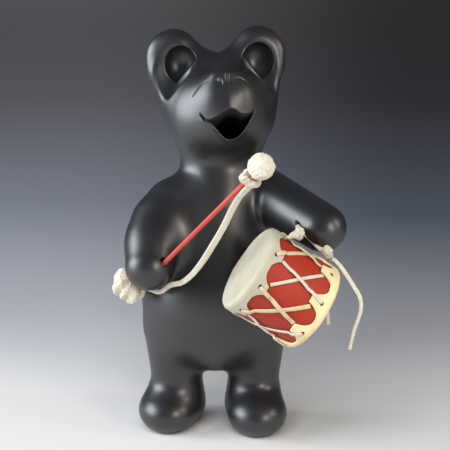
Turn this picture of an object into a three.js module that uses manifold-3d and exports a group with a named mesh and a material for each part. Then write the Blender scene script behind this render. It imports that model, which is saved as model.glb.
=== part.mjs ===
// A black clay bear standing on two feet, singing with its head tilted back. Its left arm carries
// a hide drum on a lace, and its right paw holds a red beater with a padded head.
// Millimetres, +Z up. The bear faces -Y, and its own left is towards +X. Places are measured from
// the ground under the bear's middle, and the whole figure is then moved by STAND_AT.
import * as THREE from "three";
import { mergeVertices } from "three/addons/utils/BufferGeometryUtils.js";
import Module from "manifold-3d";

const wasm = await Module();
wasm.setup();

const STAND_AT = [-9.8, 39.1, 0]; // puts the origin on the ground under the middle of the figure
const GAP = 0.3; // clearance between pieces that touch

const TORSO = {
  belly: { at: [0, -2, 101], radii: [54.3, 45, 56] },
  chest: { at: [1, 0, 160], radii: [36, 34, 42] },
  neck: { from: [3, 3, 188], to: [4, 4, 222], radii: [24, 25] },
  softness: 22,
};
const LEG = { apart: 29, top: 76, topRadius: 24, ankle: 36, ankleRadius: 18.8, softness: 9 };
const TOES = { apart: 33.5, shift: -2, height: 14.5, radii: [22.3, 26.5, 18], softness: 12 };
const TOES_FORWARD = { "-1": -6, 1: -13 }; // the left foot is set a little ahead
const HEEL = { apart: 28, back: 8, height: 16, radii: [20.3, 19, 18] };
const RIGHT_ARM = {
  joints: [[-31, -9, 173], [-40, -17, 161], [-44.8, -28, 149], [-46.5, -42, 135]],
  radii: [19, 18.5, 17.7, 16.9],
};
const LEFT_ARM = { joints: [[38, 2, 178], [75, -50, 165]], radii: [19, 17] };
// Fills the space between the right arm and the chest.
const RIGHT_BREAST = { joints: [[-19, -10, 174], [-31, -21, 152]], radii: [17, 16] };
const ELBOW_SOFTNESS = 9;
const SHOULDER_SOFTNESS = { left: 9, right: 10 };
const NECK_SOFTNESS = 12;

// The head's own frame turns to the bear's left, tilts up and leans, all in degrees.
const HEAD = { at: [1, 2, 246], turn: 5, tilt: 22, roll: 4 };
const SKULL = { radii: [33, 29, 32], softness: 24 };
const EAR = {
  at: [31, 3, 279],
  radii: [19, 9, 20],
  shift: 0.8,
  softness: 8,
  ridge: { from: [39, 3, 268], to: [17, 4, 212], toShift: 5.5, radii: [8.5, 9.5] },
  web: { from: [27, 5, 287], to: [4, 7, 262], radii: [9, 9] }, // joins each ear to the crown
};
// Each hollow ends at a straight edge, cut away past its middle, that faces up and outwards.
const EAR_DISH = { at: [32, -10, 272], shift: 2.5, radii: [13, 6.5, 20], lean: 15, cut: 11, softness: 4 };
const EAR_BOWL = { at: [27.5, -6, 275], shift: 3.6, radii: [11.3, 11, 13.3], cut: 5.8 };
const EAR_CUT = [0.795, 0, 0.61];
const MUZZLE = { at: [4, -12, -13], radii: [34, 36, 27], across: 1.5, upright: 2.3, softness: 10 };
const MUZZLE_JOIN = 16;
const LOBES = { apart: 7, at: [5, -28, -3], radii: [12, 18, 14], softness: 6 };
const NOSE = { at: [3, -44, 7.5], radii: [8, 4, 4], softness: 8 };
// The mouth's outline in the head's frame, seen from the front: along the upper lip, then back below.
const MOUTH_OUTLINE = [
  [-15.5, -17],
  [-12, -21.5],
  [-9.5, -22.5],
  [-4, -20.8],
  [3, -17.5],
  [7.5, -18],
  [12.5, -21],
  [18, -20.3],
  [22, -17.5],
  [18, -24],
  [13, -31],
  [7, -35],
  [1, -35],
  [-4.5, -29.7],
  [-9, -24],
  [-13, -21.8],
];
const MOUTH_DEPTH = { front: -70, back: 4 };

// The mesh starts as one point in each cell, and is then made finer, most of all on the face.
const WRAP = { low: [-75, -85, -5], high: [102, 54, 306], cell: 11, edge: 17 };
const FACE = { above: 205, behind: 20, edge: 8 };
const REACH = 300; // more than the figure measures any way

const DRUM = { front: [23.3, -78, 144], back: [67.8, -73.5, 114], radius: 30, wall: 3 };
const SKIN = 1.4; // thickness of the hides
const EDGE = { round: 1, bevel: 3 }; // how far a hide's rim is rounded down and in
const BATTER = { gap: 5.2, tip: 11, hole: 6, firstTab: 45, skew: 1.6 };
const DRUM_BACK = { gap: 4, tip: 13.5, hole: 5.5, firstTab: 22, skew: 1.6 };
const TABS = 8;
const TAB_TIP = 0.27; // the blunt part of each tab, as a share of its width
const TAB_CURVE = [2.4, 0.7]; // rounds the gaps between the tabs
const LACE = { width: 2.6, thickness: 1, lift: 0.3, step: 15, tabsOn: 2 };

const STICK = {
  entry: [-34.9, -52, 140.3], // where it leaves the paw
  ball: [30.3, -112, 219.4],
  radius: 1.7,
  rear: 42,
  intoBall: 2.7,
};
const BALL = { radius: 8.7, waist: 3.4, collar: 6.6, ruffles: 3, ruffle: 0.2 };
const COLLAR = { top: -9.9, shoulder: -10.6, widest: -13.5, bottom: -16.5, out: 1.4, in: 0.7 };
const TIE = { radius: 0.8, at: -8.9 };
const TUFT = { at: [-61.3, -26.6, 117.3], radius: 13.3, thickness: 9.3, ruffles: 5, ruffle: 0.08 };
const PAW_HOLE = { radius: 2.3, from: 12 };
const ARM_HOLE = { from: [57.8, -56, 167], to: [72.8, -62.5, 153], radius: 2.5, past: 8 };
const FRONT_KNOT = { at: [57.7, -75.5, 167], radii: [3.2, 3.3, 4.8] };
const FRONT_FLAP = { to: [49.4, -86, 167.1], radii: [3.2, 0.9] };
const REAR_KNOT = { at: [77.6, -65.6, 151.8], radii: [3.6, 3.3, 4.5] };
const TIE_LACE = 1.4;

// How many sides the round pieces have.
const COUNTS = { shell: 32, beater: 18, tie: 16, tieCord: 6, tuft: 20, cord: 8 };
const BALL_COUNTS = { bowl: [18, 12], knot: [10, 7] }; // round, and from pole to pole

const THONG = {
  radius: 1.5,
  steps: 22,
  route: [
    [23.2, -104.5, 205.1],
    [17.5, -97.5, 197.7],
    [13, -92, 188.9],
    [6.4, -84, 173.5],
    [-1.1, -75, 158.2],
    [-8.8, -64, 143.4],
    [-16.3, -54.5, 131.9],
    [-23.6, -48.5, 124.9],
    [-30.8, -44, 122.1],
    [-39.2, -40.5, 116],
    [-44.6, -35.5, 116],
    [-47.6, -32.4, 116.2],
  ],
};
const TAIL = {
  radius: 1.2,
  steps: 16,
  route: [
    [80.8, -63, 146.5],
    [83.8, -60.5, 143.8],
    [87.4, -58.5, 139.6],
    [92, -58, 133],
    [97.3, -58, 124.6],
    [101.5, -59, 116.9],
    [102.3, -60, 109.9],
    [100.7, -60, 102.6],
    [98.4, -60, 95.3],
    [96.5, -60, 87.2],
    [95.3, -60, 79.5],
  ],
};
const SHORT_TAIL = {
  radius: 1.2,
  steps: 10,
  route: [
    [78.8, -60, 146],
    [79.4, -50, 141],
    [79.5, -42, 131],
    [79.5, -37.5, 118],
    [80.4, -37, 106],
    [81.8, -38.5, 91],
  ],
};

const vector = (xyz) => new THREE.Vector3(...xyz);
const degrees = THREE.MathUtils.degToRad;
const sides = [-1, 1];

// Solid forms are functions that give the distance from a point to their surface, negative inside.
function ellipsoid(at, radii, toOwnFrame = null) {
  const centre = vector(at);
  const r = vector(radii);
  const near = new THREE.Vector3();
  const steep = new THREE.Vector3();
  return (p) => {
    near.copy(p).sub(centre);
    if (toOwnFrame) near.applyQuaternion(toOwnFrame);
    near.divide(r);
    const k = near.length();
    const slope = steep.copy(near).divide(r).length();
    return slope < 1e-9 ? -Math.min(...radii) : (k * (k - 1)) / slope;
  };
}

// A ball of one radius swept to a ball of another.
function taperedRod(from, to, radiusFrom, radiusTo) {
  const a = vector(from);
  const along = vector(to).sub(a);
  const length = along.length();
  along.normalize();
  const slope = (radiusFrom - radiusTo) / length;
  const square = Math.sqrt(1 - slope * slope);
  const rel = new THREE.Vector3();
  return (p) => {
    rel.copy(p).sub(a);
    const t = rel.dot(along);
    const away = Math.sqrt(Math.max(rel.lengthSq() - t * t, 0));
    const place = slope * away - square * t;
    if (place >= 0) return rel.length() - radiusFrom;
    if (place <= -square * length) return Math.hypot(t - length, away) - radiusTo;
    return away * square + t * slope - radiusFrom;
  };
}

const softMin = (a, b, soft) => {
  const h = Math.max(soft - Math.abs(a - b), 0) / soft;
  return Math.min(a, b) - (h * h * soft) / 4;
};
const join = (soft, ...forms) => (p) => forms.reduce((d, f) => softMin(d, f(p), soft), 1e3);
const carve = (soft, form, tool) => (p) => -softMin(-form(p), tool(p), soft);

// A rounded block: across shapes its level outline, 1 for a diamond and 2 for an oval, and upright
// its profile.
function prow({ at, radii, across, upright }) {
  const centre = vector(at);
  const r = vector(radii);
  const near = new THREE.Vector3();
  return (p) => {
    const [x, y, z] = near
      .copy(p)
      .sub(centre)
      .divide(r)
      .toArray()
      .map((v) => Math.max(Math.abs(v), 1e-6));
    const level = (x ** across + y ** across) ** (1 / across);
    const k = (level ** upright + z ** upright) ** (1 / upright);
    const out = (level / k) ** (upright - 1);
    const steep = [x, y].map((v) => out * (v / level) ** (across - 1));
    near.set(...steep, (z / k) ** (upright - 1));
    return (k - 1) / near.divide(r).length();
  };
}

const spin = (axis, angle) => new THREE.Quaternion().setFromAxisAngle(vector(axis), degrees(angle));
const headTurn = spin([0, 0, 1], HEAD.turn)
  .multiply(spin([1, 0, 0], -HEAD.tilt))
  .multiply(spin([0, 1, 0], -HEAD.roll));
const toHead = headTurn.clone().invert();
const inHead = (form) => {
  const centre = vector(HEAD.at);
  const q = new THREE.Vector3();
  return (p) => form(q.copy(p).sub(centre).applyQuaternion(toHead));
};

function torso() {
  const { belly, chest, neck, softness } = TORSO;
  return join(
    softness,
    ellipsoid(belly.at, belly.radii),
    ellipsoid(chest.at, chest.radii),
    taperedRod(neck.from, neck.to, ...neck.radii),
  );
}

function leg(side) {
  const top = [side * LEG.apart, -1, LEG.top];
  const ankle = [side * LEG.apart, 2, LEG.ankle];
  const toesAt = [side * TOES.apart + TOES.shift, TOES_FORWARD[side], TOES.height];
  const heelAt = [side * HEEL.apart, HEEL.back, HEEL.height];
  const shank = taperedRod(top, ankle, LEG.topRadius, LEG.ankleRadius);
  const foot = join(TOES.softness, ellipsoid(toesAt, TOES.radii), ellipsoid(heelAt, HEEL.radii));
  return join(TOES.softness, shank, foot);
}

const rods = ({ joints, radii }) =>
  joints.slice(1).map((joint, i) => taperedRod(joints[i], joint, radii[i], radii[i + 1]));

// An ear stands in the plane that the head's turn gives it.
function atEar(side, [x, y, z], shift = EAR.shift) {
  return [side * x + shift, y + Math.sin(degrees(HEAD.turn)) * side * x, z + side];
}

function ear(side) {
  const { ridge, web } = EAR;
  return join(
    EAR.softness,
    ellipsoid(atEar(side, EAR.at), EAR.radii),
    taperedRod(atEar(side, ridge.from), atEar(side, ridge.to, ridge.toShift), ...ridge.radii),
    taperedRod(atEar(side, web.from), web.to, ...web.radii),
  );
}

// Where an ear's hollow is cut off: the way that its edge faces, and a point on the edge.
function earEdge(side, { at, shift, cut }) {
  const way = vector(EAR_CUT).multiply(new THREE.Vector3(-side, 1, -1));
  return { way, at: vector(atEar(side, at, shift)).addScaledVector(way, cut) };
}

function earDish(side) {
  const { at, shift, radii, lean } = EAR_DISH;
  const hollow = ellipsoid(atEar(side, at, shift), radii, spin([0, 1, 0], side * lean));
  const edge = earEdge(side, EAR_DISH);
  const past = edge.way.dot(edge.at);
  return (p) => Math.max(hollow(p), edge.way.dot(p) - past);
}

function face() {
  const [x, y, z] = LOBES.at;
  const lobes = sides.map((side) => ellipsoid([x + side * LOBES.apart, y, z], LOBES.radii));
  const nosed = join(NOSE.softness, join(LOBES.softness, ...lobes), ellipsoid(NOSE.at, NOSE.radii));
  return inHead(join(MUZZLE.softness, nosed, prow(MUZZLE)));
}

function head() {
  const skull = ellipsoid(HEAD.at, SKULL.radii, toHead);
  const ears = join(1, ...sides.map(ear));
  const whole = join(MUZZLE_JOIN, join(SKULL.softness, skull, face()), ears);
  return sides.reduce((form, side) => carve(EAR_DISH.softness, form, earDish(side)), whole);
}

function clay() {
  const trunk = join(LEG.softness, torso(), join(1, ...sides.map(leg)));
  const leftArm = join(ELBOW_SOFTNESS, ...rods(LEFT_ARM));
  const rightArm = join(ELBOW_SOFTNESS, join(ELBOW_SOFTNESS, ...rods(RIGHT_ARM)), ...rods(RIGHT_BREAST));
  const withLeft = join(SHOULDER_SOFTNESS.left, trunk, leftArm);
  return join(NECK_SOFTNESS, join(SHOULDER_SOFTNESS.right, withLeft, rightArm), head());
}

// A closed mesh of the surface where form is 0: one vertex in each cell that the surface crosses.
function wrap(form, { low, high, cell }) {
  const size = low.map((v, a) => Math.ceil((high[a] - v) / cell) + 1);
  const stride = [1, size[0], size[0] * size[1]];
  const place = (n) => [n % size[0], Math.floor(n / size[0]) % size[1], Math.floor(n / stride[2])];
  const point = (ijk) => new THREE.Vector3(...ijk.map((v, a) => low[a] + v * cell));
  const total = stride[2] * size[2];
  const values = new Float32Array(total);
  for (let n = 0; n < total; n++) values[n] = form(point(place(n)));

  const points = [];
  const vertexOf = new Map();
  const corners = [0, 1, 2, 3, 4, 5, 6, 7].map((c) => [c & 1, (c >> 1) & 1, c >> 2]);
  const vertexIn = (n) => {
    if (!vertexOf.has(n)) {
      const sum = new THREE.Vector3();
      let crossings = 0;
      const offset = (c) => corners[c].reduce((s, v, a) => s + v * stride[a], 0);
      for (let c = 0; c < 8; c++)
        for (let a = 0; a < 3; a++) {
          if (corners[c][a]) continue;
          const from = n + offset(c);
          const [u, w] = [values[from], values[from + stride[a]]];
          if (u < 0 === w < 0) continue;
          const here = place(from);
          here[a] += u / (u - w);
          sum.add(point(here));
          crossings++;
        }
      vertexOf.set(n, points.length);
      points.push(sum.divideScalar(crossings));
    }
    return vertexOf.get(n);
  };
  const triangles = [];
  for (let n = 0; n < total; n++) {
    const ijk = place(n);
    for (let a = 0; a < 3; a++) {
      const [b, c] = [(a + 1) % 3, (a + 2) % 3];
      if (ijk[a] + 1 >= size[a] || !ijk[b] || !ijk[c]) continue;
      const [u, w] = [values[n], values[n + stride[a]]];
      if (u < 0 === w < 0) continue;
      const ring = [n - stride[b] - stride[c], n - stride[c], n, n - stride[b]].map(vertexIn);
      if (u >= 0) ring.reverse();
      const [p, q, r, s] = ring;
      const diagonal = (i, j) => points[i].distanceTo(points[j]);
      if (diagonal(p, r) < diagonal(q, s)) triangles.push([p, q, r], [p, r, s]);
      else triangles.push([q, r, s], [q, s, p]);
    }
  }
  return { points, triangles };
}

// Moves each point along the form's slope until it lies on the surface.
function settle(form, points, reach) {
  const probe = new THREE.Vector3();
  const step = 0.05;
  for (const p of points)
    for (let round = 0; round < 6; round++) {
      const value = form(probe.copy(p));
      const slope = new THREE.Vector3();
      for (const axis of ["x", "y", "z"]) {
        probe.copy(p)[axis] += step;
        const ahead = form(probe);
        probe[axis] -= 2 * step;
        slope[axis] = (ahead - form(probe)) / (2 * step);
      }
      const move = slope.multiplyScalar(-value / Math.max(slope.lengthSq(), 0.05));
      p.add(move.clampLength(0, reach));
    }
}

// Halves every edge that is longer than wanted there.
function refine({ points, triangles }, wanted) {
  const middle = new Map();
  const split = (i, j) => {
    const key = i < j ? i + "_" + j : j + "_" + i;
    if (!middle.has(key)) {
      const mid = points[i].clone().lerp(points[j], 0.5);
      const long = points[i].distanceTo(points[j]) > wanted(mid);
      middle.set(key, long ? points.push(mid) - 1 : -1);
    }
    return middle.get(key);
  };
  const made = [];
  for (const [a, b, c] of triangles) {
    const m = [split(a, b), split(b, c), split(c, a)];
    const count = m.filter((v) => v >= 0).length;
    if (count === 0) made.push([a, b, c]);
    else if (count === 3) made.push([a, m[0], m[2]], [m[0], b, m[1]], [m[2], m[1], c], m);
    else {
      // turned so that the first side is a halved one, and the last is whole if two are halved
      let [p, q, r, n] = [a, b, c, m];
      while (!(n[0] >= 0 && (count === 1 || n[1] >= 0)))
        [p, q, r, n] = [q, r, p, [n[1], n[2], n[0]]];
      if (count === 1) made.push([p, n[0], r], [n[0], q, r]);
      else made.push([n[0], q, n[1]], [p, n[0], n[1]], [p, n[1], r]);
    }
  }
  return { points, triangles: made };
}

function geometryOf({ points, triangles }) {
  return new THREE.BufferGeometry()
    .setAttribute("position", new THREE.Float32BufferAttribute(points.flatMap((p) => p.toArray()), 3))
    .setIndex(triangles.flat());
}

function solid(geometry) {
  const bare = geometry.clone();
  bare.deleteAttribute("normal");
  bare.deleteAttribute("uv");
  const merged = mergeVertices(bare, 1e-3);
  return new wasm.Manifold(
    new wasm.Mesh({
      numProp: 3,
      vertProperties: new Float32Array(merged.attributes.position.array),
      triVerts: new Uint32Array(merged.index.array),
    }),
  );
}

function geometryFrom(manifold) {
  const { vertProperties, triVerts } = manifold.getMesh();
  return new THREE.BufferGeometry()
    .setAttribute("position", new THREE.BufferAttribute(new Float32Array(vertProperties), 3))
    .setIndex(new THREE.BufferAttribute(new Uint32Array(triVerts), 1));
}

// Turns an outline about +Z. outlineAt(angle) lists [radius, height] pairs; when closed, the last
// joins the first, and otherwise both ends lie on the axis.
function turned(outlineAt, segments, closed = false) {
  const rings = [];
  for (let i = 0; i < segments; i++) {
    const angle = (i / segments) * 2 * Math.PI;
    rings.push(outlineAt(angle).map(([r, z]) => [r * Math.cos(angle), r * Math.sin(angle), z]));
  }
  const count = rings[0].length;
  const inner = closed ? count : count - 2;
  const first = closed ? 0 : 1;
  const points = rings.flatMap((ring) => ring.slice(first, first + inner)).map(vector);
  const index = (i, k) => (i % segments) * inner + (k % inner);
  const triangles = [];
  for (let i = 0; i < segments; i++)
    for (let k = 0; k < (closed ? inner : inner - 1); k++) {
      const [a, b, c, d] = [index(i, k), index(i + 1, k), index(i + 1, k + 1), index(i, k + 1)];
      triangles.push([a, b, c], [a, c, d]);
    }
  if (!closed)
    for (const [k, pole, flip] of [[0, rings[0][0], 1], [inner - 1, rings[0][count - 1], 0]]) {
      const tip = points.push(vector(pole)) - 1;
      for (let i = 0; i < segments; i++) {
        const [a, b] = [index(i, k), index(i + 1, k)];
        triangles.push(flip ? [tip, b, a] : [tip, a, b]);
      }
    }
  return geometryOf({ points, triangles });
}

// A flat strip whose middle line lies on a drum of the given radius.
function strip(radius, from, to) {
  const { width, thickness } = LACE;
  const steps = Math.ceil(Math.abs(to.angle - from.angle) / LACE.step);
  const points = [];
  const triangles = [];
  const [rise, sweep] = [to.at - from.at, degrees(to.angle - from.angle)];
  const slant = Math.atan2(sweep * radius, rise);
  for (let i = 0; i <= steps; i++) {
    const t = i / steps;
    for (const [side, out] of [[-1, 0], [1, 0], [1, 1], [-1, 1]]) {
      const z = from.at + rise * t - (side * width * Math.sin(slant)) / 2;
      const angle = degrees(from.angle) + sweep * t + (side * width * Math.cos(slant)) / 2 / radius;
      const r = radius + out * thickness;
      points.push(new THREE.Vector3(r * Math.cos(angle), r * Math.sin(angle), z));
    }
    if (i)
      for (let k = 0; k < 4; k++) {
        const [a, b] = [4 * (i - 1) + k, 4 * (i - 1) + ((k + 1) % 4)];
        triangles.push([b, a, a + 4], [b, a + 4, b + 4]);
      }
  }
  const end = 4 * steps;
  triangles.push([0, 1, 2], [0, 2, 3], [end, end + 2, end + 1], [end, end + 3, end + 2]);
  return geometryOf({ points, triangles });
}

function cord({ route, radius, steps }) {
  const section = new THREE.Shape(circle(radius, COUNTS.cord));
  const extrudePath = new THREE.CatmullRomCurve3(route.map(vector));
  return new THREE.ExtrudeGeometry(section, { steps, extrudePath, bevelEnabled: false });
}

const circle = (radius, count) =>
  Array.from({ length: count }, (_, i) => {
    const angle = (i / count) * 2 * Math.PI;
    return new THREE.Vector2(radius * Math.cos(angle), radius * Math.sin(angle));
  });

const lengthBetween = (from, to) => vector(from).distanceTo(vector(to));

// Puts a shape made along +Z at a place, with its +Z towards another.
function aim(geometry, from, to) {
  const along = vector(to).sub(vector(from)).normalize();
  const turn = new THREE.Quaternion().setFromUnitVectors(new THREE.Vector3(0, 0, 1), along);
  return geometry.applyQuaternion(turn).translate(...from);
}

const rod = (from, to, radius, count = 12, endRadius = radius) =>
  aim(
    new THREE.CylinderGeometry(endRadius, radius, lengthBetween(from, to), count)
      .rotateX(Math.PI / 2)
      .translate(0, 0, lengthBetween(from, to) / 2),
    from,
    to,
  );
const alongStick = (distance) => {
  const entry = vector(STICK.entry);
  return entry.addScaledVector(vector(STICK.ball).sub(entry).normalize(), distance).toArray();
};
const beyond = (from, to, distance) =>
  vector(to).addScaledVector(vector(to).sub(vector(from)).normalize(), distance).toArray();

function mouth() {
  const outline = new THREE.Shape(MOUTH_OUTLINE.map(([x, z]) => new THREE.Vector2(x, z)));
  const depth = MOUTH_DEPTH.back - MOUTH_DEPTH.front;
  return new THREE.ExtrudeGeometry(outline, { depth, bevelEnabled: false })
    .rotateX(Math.PI / 2)
    .translate(0, MOUTH_DEPTH.back, 0)
    .applyQuaternion(headTurn)
    .translate(...HEAD.at);
}

function earBowl(side) {
  const { at, shift, radii } = EAR_BOWL;
  const ball = new THREE.SphereGeometry(1, ...BALL_COUNTS.bowl)
    .scale(...radii)
    .translate(...atEar(side, at, shift));
  const edge = earEdge(side, EAR_BOWL);
  const kept = edge.way.clone().negate();
  return solid(ball).trimByPlane(kept.toArray(), kept.dot(edge.at));
}

function bear() {
  const form = clay();
  let mesh = wrap(form, WRAP);
  settle(form, mesh.points, WRAP.cell / 3);
  const longest = (p) => (p.z > FACE.above && p.y < FACE.behind ? FACE.edge : WRAP.edge);
  for (let round = 0; round < 2; round++) {
    mesh = refine(mesh, longest);
    settle(form, mesh.points, WRAP.cell / 6);
  }
  const { from, to, radius, past } = ARM_HOLE;
  const underGround = new THREE.BoxGeometry(2 * REACH, 2 * REACH, REACH).translate(0, 0, -REACH / 2);
  const cuts = [
    solid(underGround),
    solid(mouth()),
    ...sides.map(earBowl),
    solid(rod(alongStick(PAW_HOLE.from), alongStick(-STICK.rear), PAW_HOLE.radius)),
    solid(rod(beyond(to, from, past), beyond(from, to, past), radius)),
  ];
  const whole = solid(geometryOf(mesh));
  return geometryFrom(cuts.reduce((clayBody, cut) => clayBody.subtract(cut), whole));
}

const drumLength = lengthBetween(DRUM.front, DRUM.back);
const skinRadius = DRUM.radius + GAP + SKIN;

function drumShell() {
  const inner = DRUM.radius - DRUM.wall;
  const section = [[inner, 0], [DRUM.radius, 0], [DRUM.radius, drumLength], [inner, drumLength]];
  return turned(() => section, COUNTS.shell, true);
}

// A hide over the +Z end of the drum, its skirt cut in scallops. Its height 0 is at that end.
function hide({ gap, tip, firstTab, skew }) {
  const inner = DRUM.radius + GAP;
  const outlineAt = (angle) => {
    const turn = (((angle - degrees(firstTab)) * TABS) / Math.PI) % 2;
    const fromTab = 1 - Math.abs(1 - Math.abs(turn)); // 0 on a tab's middle, 1 between two tabs
    const inGap = Math.min(1, (1 - fromTab) / (1 - TAB_TIP));
    const reach = 1 - (1 - inGap ** TAB_CURVE[0]) ** TAB_CURVE[1];
    const edge = gap + (tip - gap) * reach - skew * Math.sin(angle);
    return [
      [0, GAP],
      [inner, GAP],
      [inner, -edge],
      [skinRadius, -edge],
      [skinRadius, -EDGE.round],
      [skinRadius - EDGE.round, GAP + SKIN - EDGE.round],
      [skinRadius - EDGE.bevel, GAP + SKIN],
      [0, GAP + SKIN],
    ];
  };
  return turned(outlineAt, 6 * TABS);
}

function batterHead() {
  return hide(BATTER).translate(0, 0, drumLength);
}

function backHead() {
  const mirrored = { ...DRUM_BACK, firstTab: -DRUM_BACK.firstTab };
  return hide(mirrored).rotateX(Math.PI);
}

// Two strips leave each hole in the front hide: one goes to the hole across, and one goes two tabs up.
function lacing() {
  const radius = skinRadius + 2 * GAP; // clears the hides between the steps too
  const batterHole = (tab) => {
    const angle = BATTER.firstTab - (tab * 360) / TABS;
    return { angle, at: drumLength - BATTER.hole + BATTER.skew * Math.sin(degrees(angle)) };
  };
  const backHole = (tab) => {
    const angle = DRUM_BACK.firstTab - (tab * 360) / TABS;
    return { angle, at: DRUM_BACK.hole + DRUM_BACK.skew * Math.sin(degrees(angle)) };
  };
  const strips = [];
  for (let tab = 0; tab < TABS; tab++)
    strips.push(
      strip(radius, backHole(tab - LACE.tabsOn), batterHole(tab)),
      strip(radius + LACE.lift, backHole(tab), batterHole(tab)),
    );
  return geometryFrom(strips.map(solid).reduce((all, next) => all.add(next)));
}

// Puts a shape made along +Z at a place, with its +Z along the stick towards the ball.
const onStick = (geometry, at) => {
  const along = vector(STICK.ball).sub(vector(STICK.entry));
  return aim(geometry, at, vector(at).add(along).toArray());
};

function drumstick() {
  return rod(alongStick(-STICK.rear), beyond(STICK.entry, STICK.ball, STICK.intoBall), STICK.radius);
}

// The ball, its tied waist and the gathered collar, round the end of the stick.
function beaterHead() {
  const bore = STICK.radius + GAP;
  const { radius, waist, collar, ruffles, ruffle } = BALL;
  const top = STICK.intoBall + GAP;
  const low = Math.asin(waist / radius);
  const steps = 6;
  const outlineAt = (angle) => {
    const flare = collar * (1 + ruffle * Math.cos(ruffles * angle));
    const outline = [
      [0, top],
      [bore, top],
      [bore, COLLAR.bottom],
      [flare * COLLAR.in, COLLAR.bottom],
      [flare, COLLAR.widest],
      [waist + COLLAR.out, COLLAR.shoulder],
      [waist, COLLAR.top],
    ];
    for (let i = 0; i <= steps; i++) {
      const turn = low + ((Math.PI - low) * i) / steps;
      outline.push([i < steps ? radius * Math.sin(turn) : 0, -radius * Math.cos(turn)]);
    }
    return outline;
  };
  return turned(outlineAt, COUNTS.beater);
}

function tie() {
  const middle = BALL.waist + GAP + TIE.radius;
  const section = circle(TIE.radius, COUNTS.tieCord).map(({ x, y }) => [middle + x, TIE.at + y]);
  return turned(() => section, COUNTS.tie, true);
}

function tuft() {
  const { radius, thickness, ruffles, ruffle } = TUFT;
  const steps = 8;
  const outlineAt = (angle) => {
    const outline = [];
    for (let i = 0; i <= steps; i++) {
      const turn = (Math.PI * i) / steps;
      const ruffled = 1 + ruffle * Math.cos(ruffles * angle) * Math.sin(turn);
      outline.push([i % steps ? radius * Math.sin(turn) * ruffled : 0, -thickness * Math.cos(turn)]);
    }
    return outline;
  };
  const bore = rod(alongStick(-STICK.rear - GAP), alongStick(0), STICK.radius + GAP);
  const gathered = onStick(turned(outlineAt, COUNTS.tuft), TUFT.at);
  return geometryFrom(solid(gathered).subtract(solid(bore)));
}

const knot = ({ at, radii }) =>
  new THREE.SphereGeometry(1, ...BALL_COUNTS.knot).scale(...radii).translate(...at);

// The lace that carries the drum: through the arm, with a knot at each end.
function drumTie() {
  const stops = [FRONT_KNOT.at, ARM_HOLE.from, ARM_HOLE.to, REAR_KNOT.at];
  const [wide, narrow] = FRONT_FLAP.radii;
  const flap = rod(FRONT_KNOT.at, FRONT_FLAP.to, wide, COUNTS.cord, narrow);
  const pieces = [knot(FRONT_KNOT), flap, knot(REAR_KNOT)];
  for (let i = 1; i < stops.length; i++) {
    const [from, to] = [stops[i - 1], stops[i]];
    const ends = [beyond(to, from, TIE_LACE / 2), beyond(from, to, TIE_LACE / 2)];
    pieces.push(rod(...ends, TIE_LACE, COUNTS.cord));
  }
  return geometryFrom(pieces.map(solid).reduce((all, next) => all.add(next)));
}

const finish = {
  clay: { color: 0x17181a, roughness: 0.35 },
  redPaint: { color: 0xb8382a, roughness: 0.6 },
  whiteHide: { color: 0xe9e2cf, roughness: 0.8 },
  creamHide: { color: 0xe3cf9f, roughness: 0.7 },
  buckskin: { color: 0xefe9dc, roughness: 0.9 },
  redDowel: { color: 0xc8402f, roughness: 0.5 },
  sinew: { color: 0x8a5a32, roughness: 0.6 },
};
const material = {};
for (const [name, look] of Object.entries(finish))
  material[name] = new THREE.MeshStandardMaterial({ ...look, metalness: 0 });

function piece(name, geometry, look) {
  const mesh = new THREE.Mesh(geometry, look);
  mesh.name = name;
  return mesh;
}

const figure = new THREE.Group();
figure.position.set(...STAND_AT);
figure.add(piece("bear", bear(), material.clay));

// The drum's own +Z runs from its back to its front, and its +X faces the viewer.
const drum = new THREE.Group();
const drumAxis = vector(DRUM.front).sub(vector(DRUM.back)).normalize();
const drumFacing = new THREE.Vector3(0, -1, 0).projectOnPlane(drumAxis).normalize();
const drumUp = new THREE.Vector3().crossVectors(drumAxis, drumFacing);
drum.quaternion.setFromRotationMatrix(new THREE.Matrix4().makeBasis(drumFacing, drumUp, drumAxis));
drum.position.set(...DRUM.back);
drum.add(
  piece("drum_shell", drumShell(), material.redPaint),
  piece("drum_batter_head", batterHead(), material.whiteHide),
  piece("drum_back_head", backHead(), material.creamHide),
  piece("drum_lacing", lacing(), material.creamHide),
);
figure.add(drum);

figure.add(
  piece("drumstick", drumstick(), material.redDowel),
  piece("beater_head", onStick(beaterHead(), STICK.ball), material.buckskin),
  piece("beater_tie", onStick(tie(), STICK.ball), material.sinew),
  piece("beater_tuft", tuft(), material.buckskin),
  piece("beater_thong", cord(THONG), material.buckskin),
  piece("drum_tie", drumTie(), material.buckskin),
  piece("drum_tie_tail", cord(TAIL), material.buckskin),
  piece("drum_tie_short_tail", cord(SHORT_TAIL), material.buckskin),
);

export default figure;
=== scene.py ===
"""A black clay bear that sings with its head back. A laced hide drum hangs from its left arm, and its
right paw holds a red beater with a padded head.

Shapes are worked out in millimetres from the ground under the bear's middle. Blender gets metres."""
import itertools
import math

import bpy
import numpy as np
from mathutils import Matrix, Vector


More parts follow.
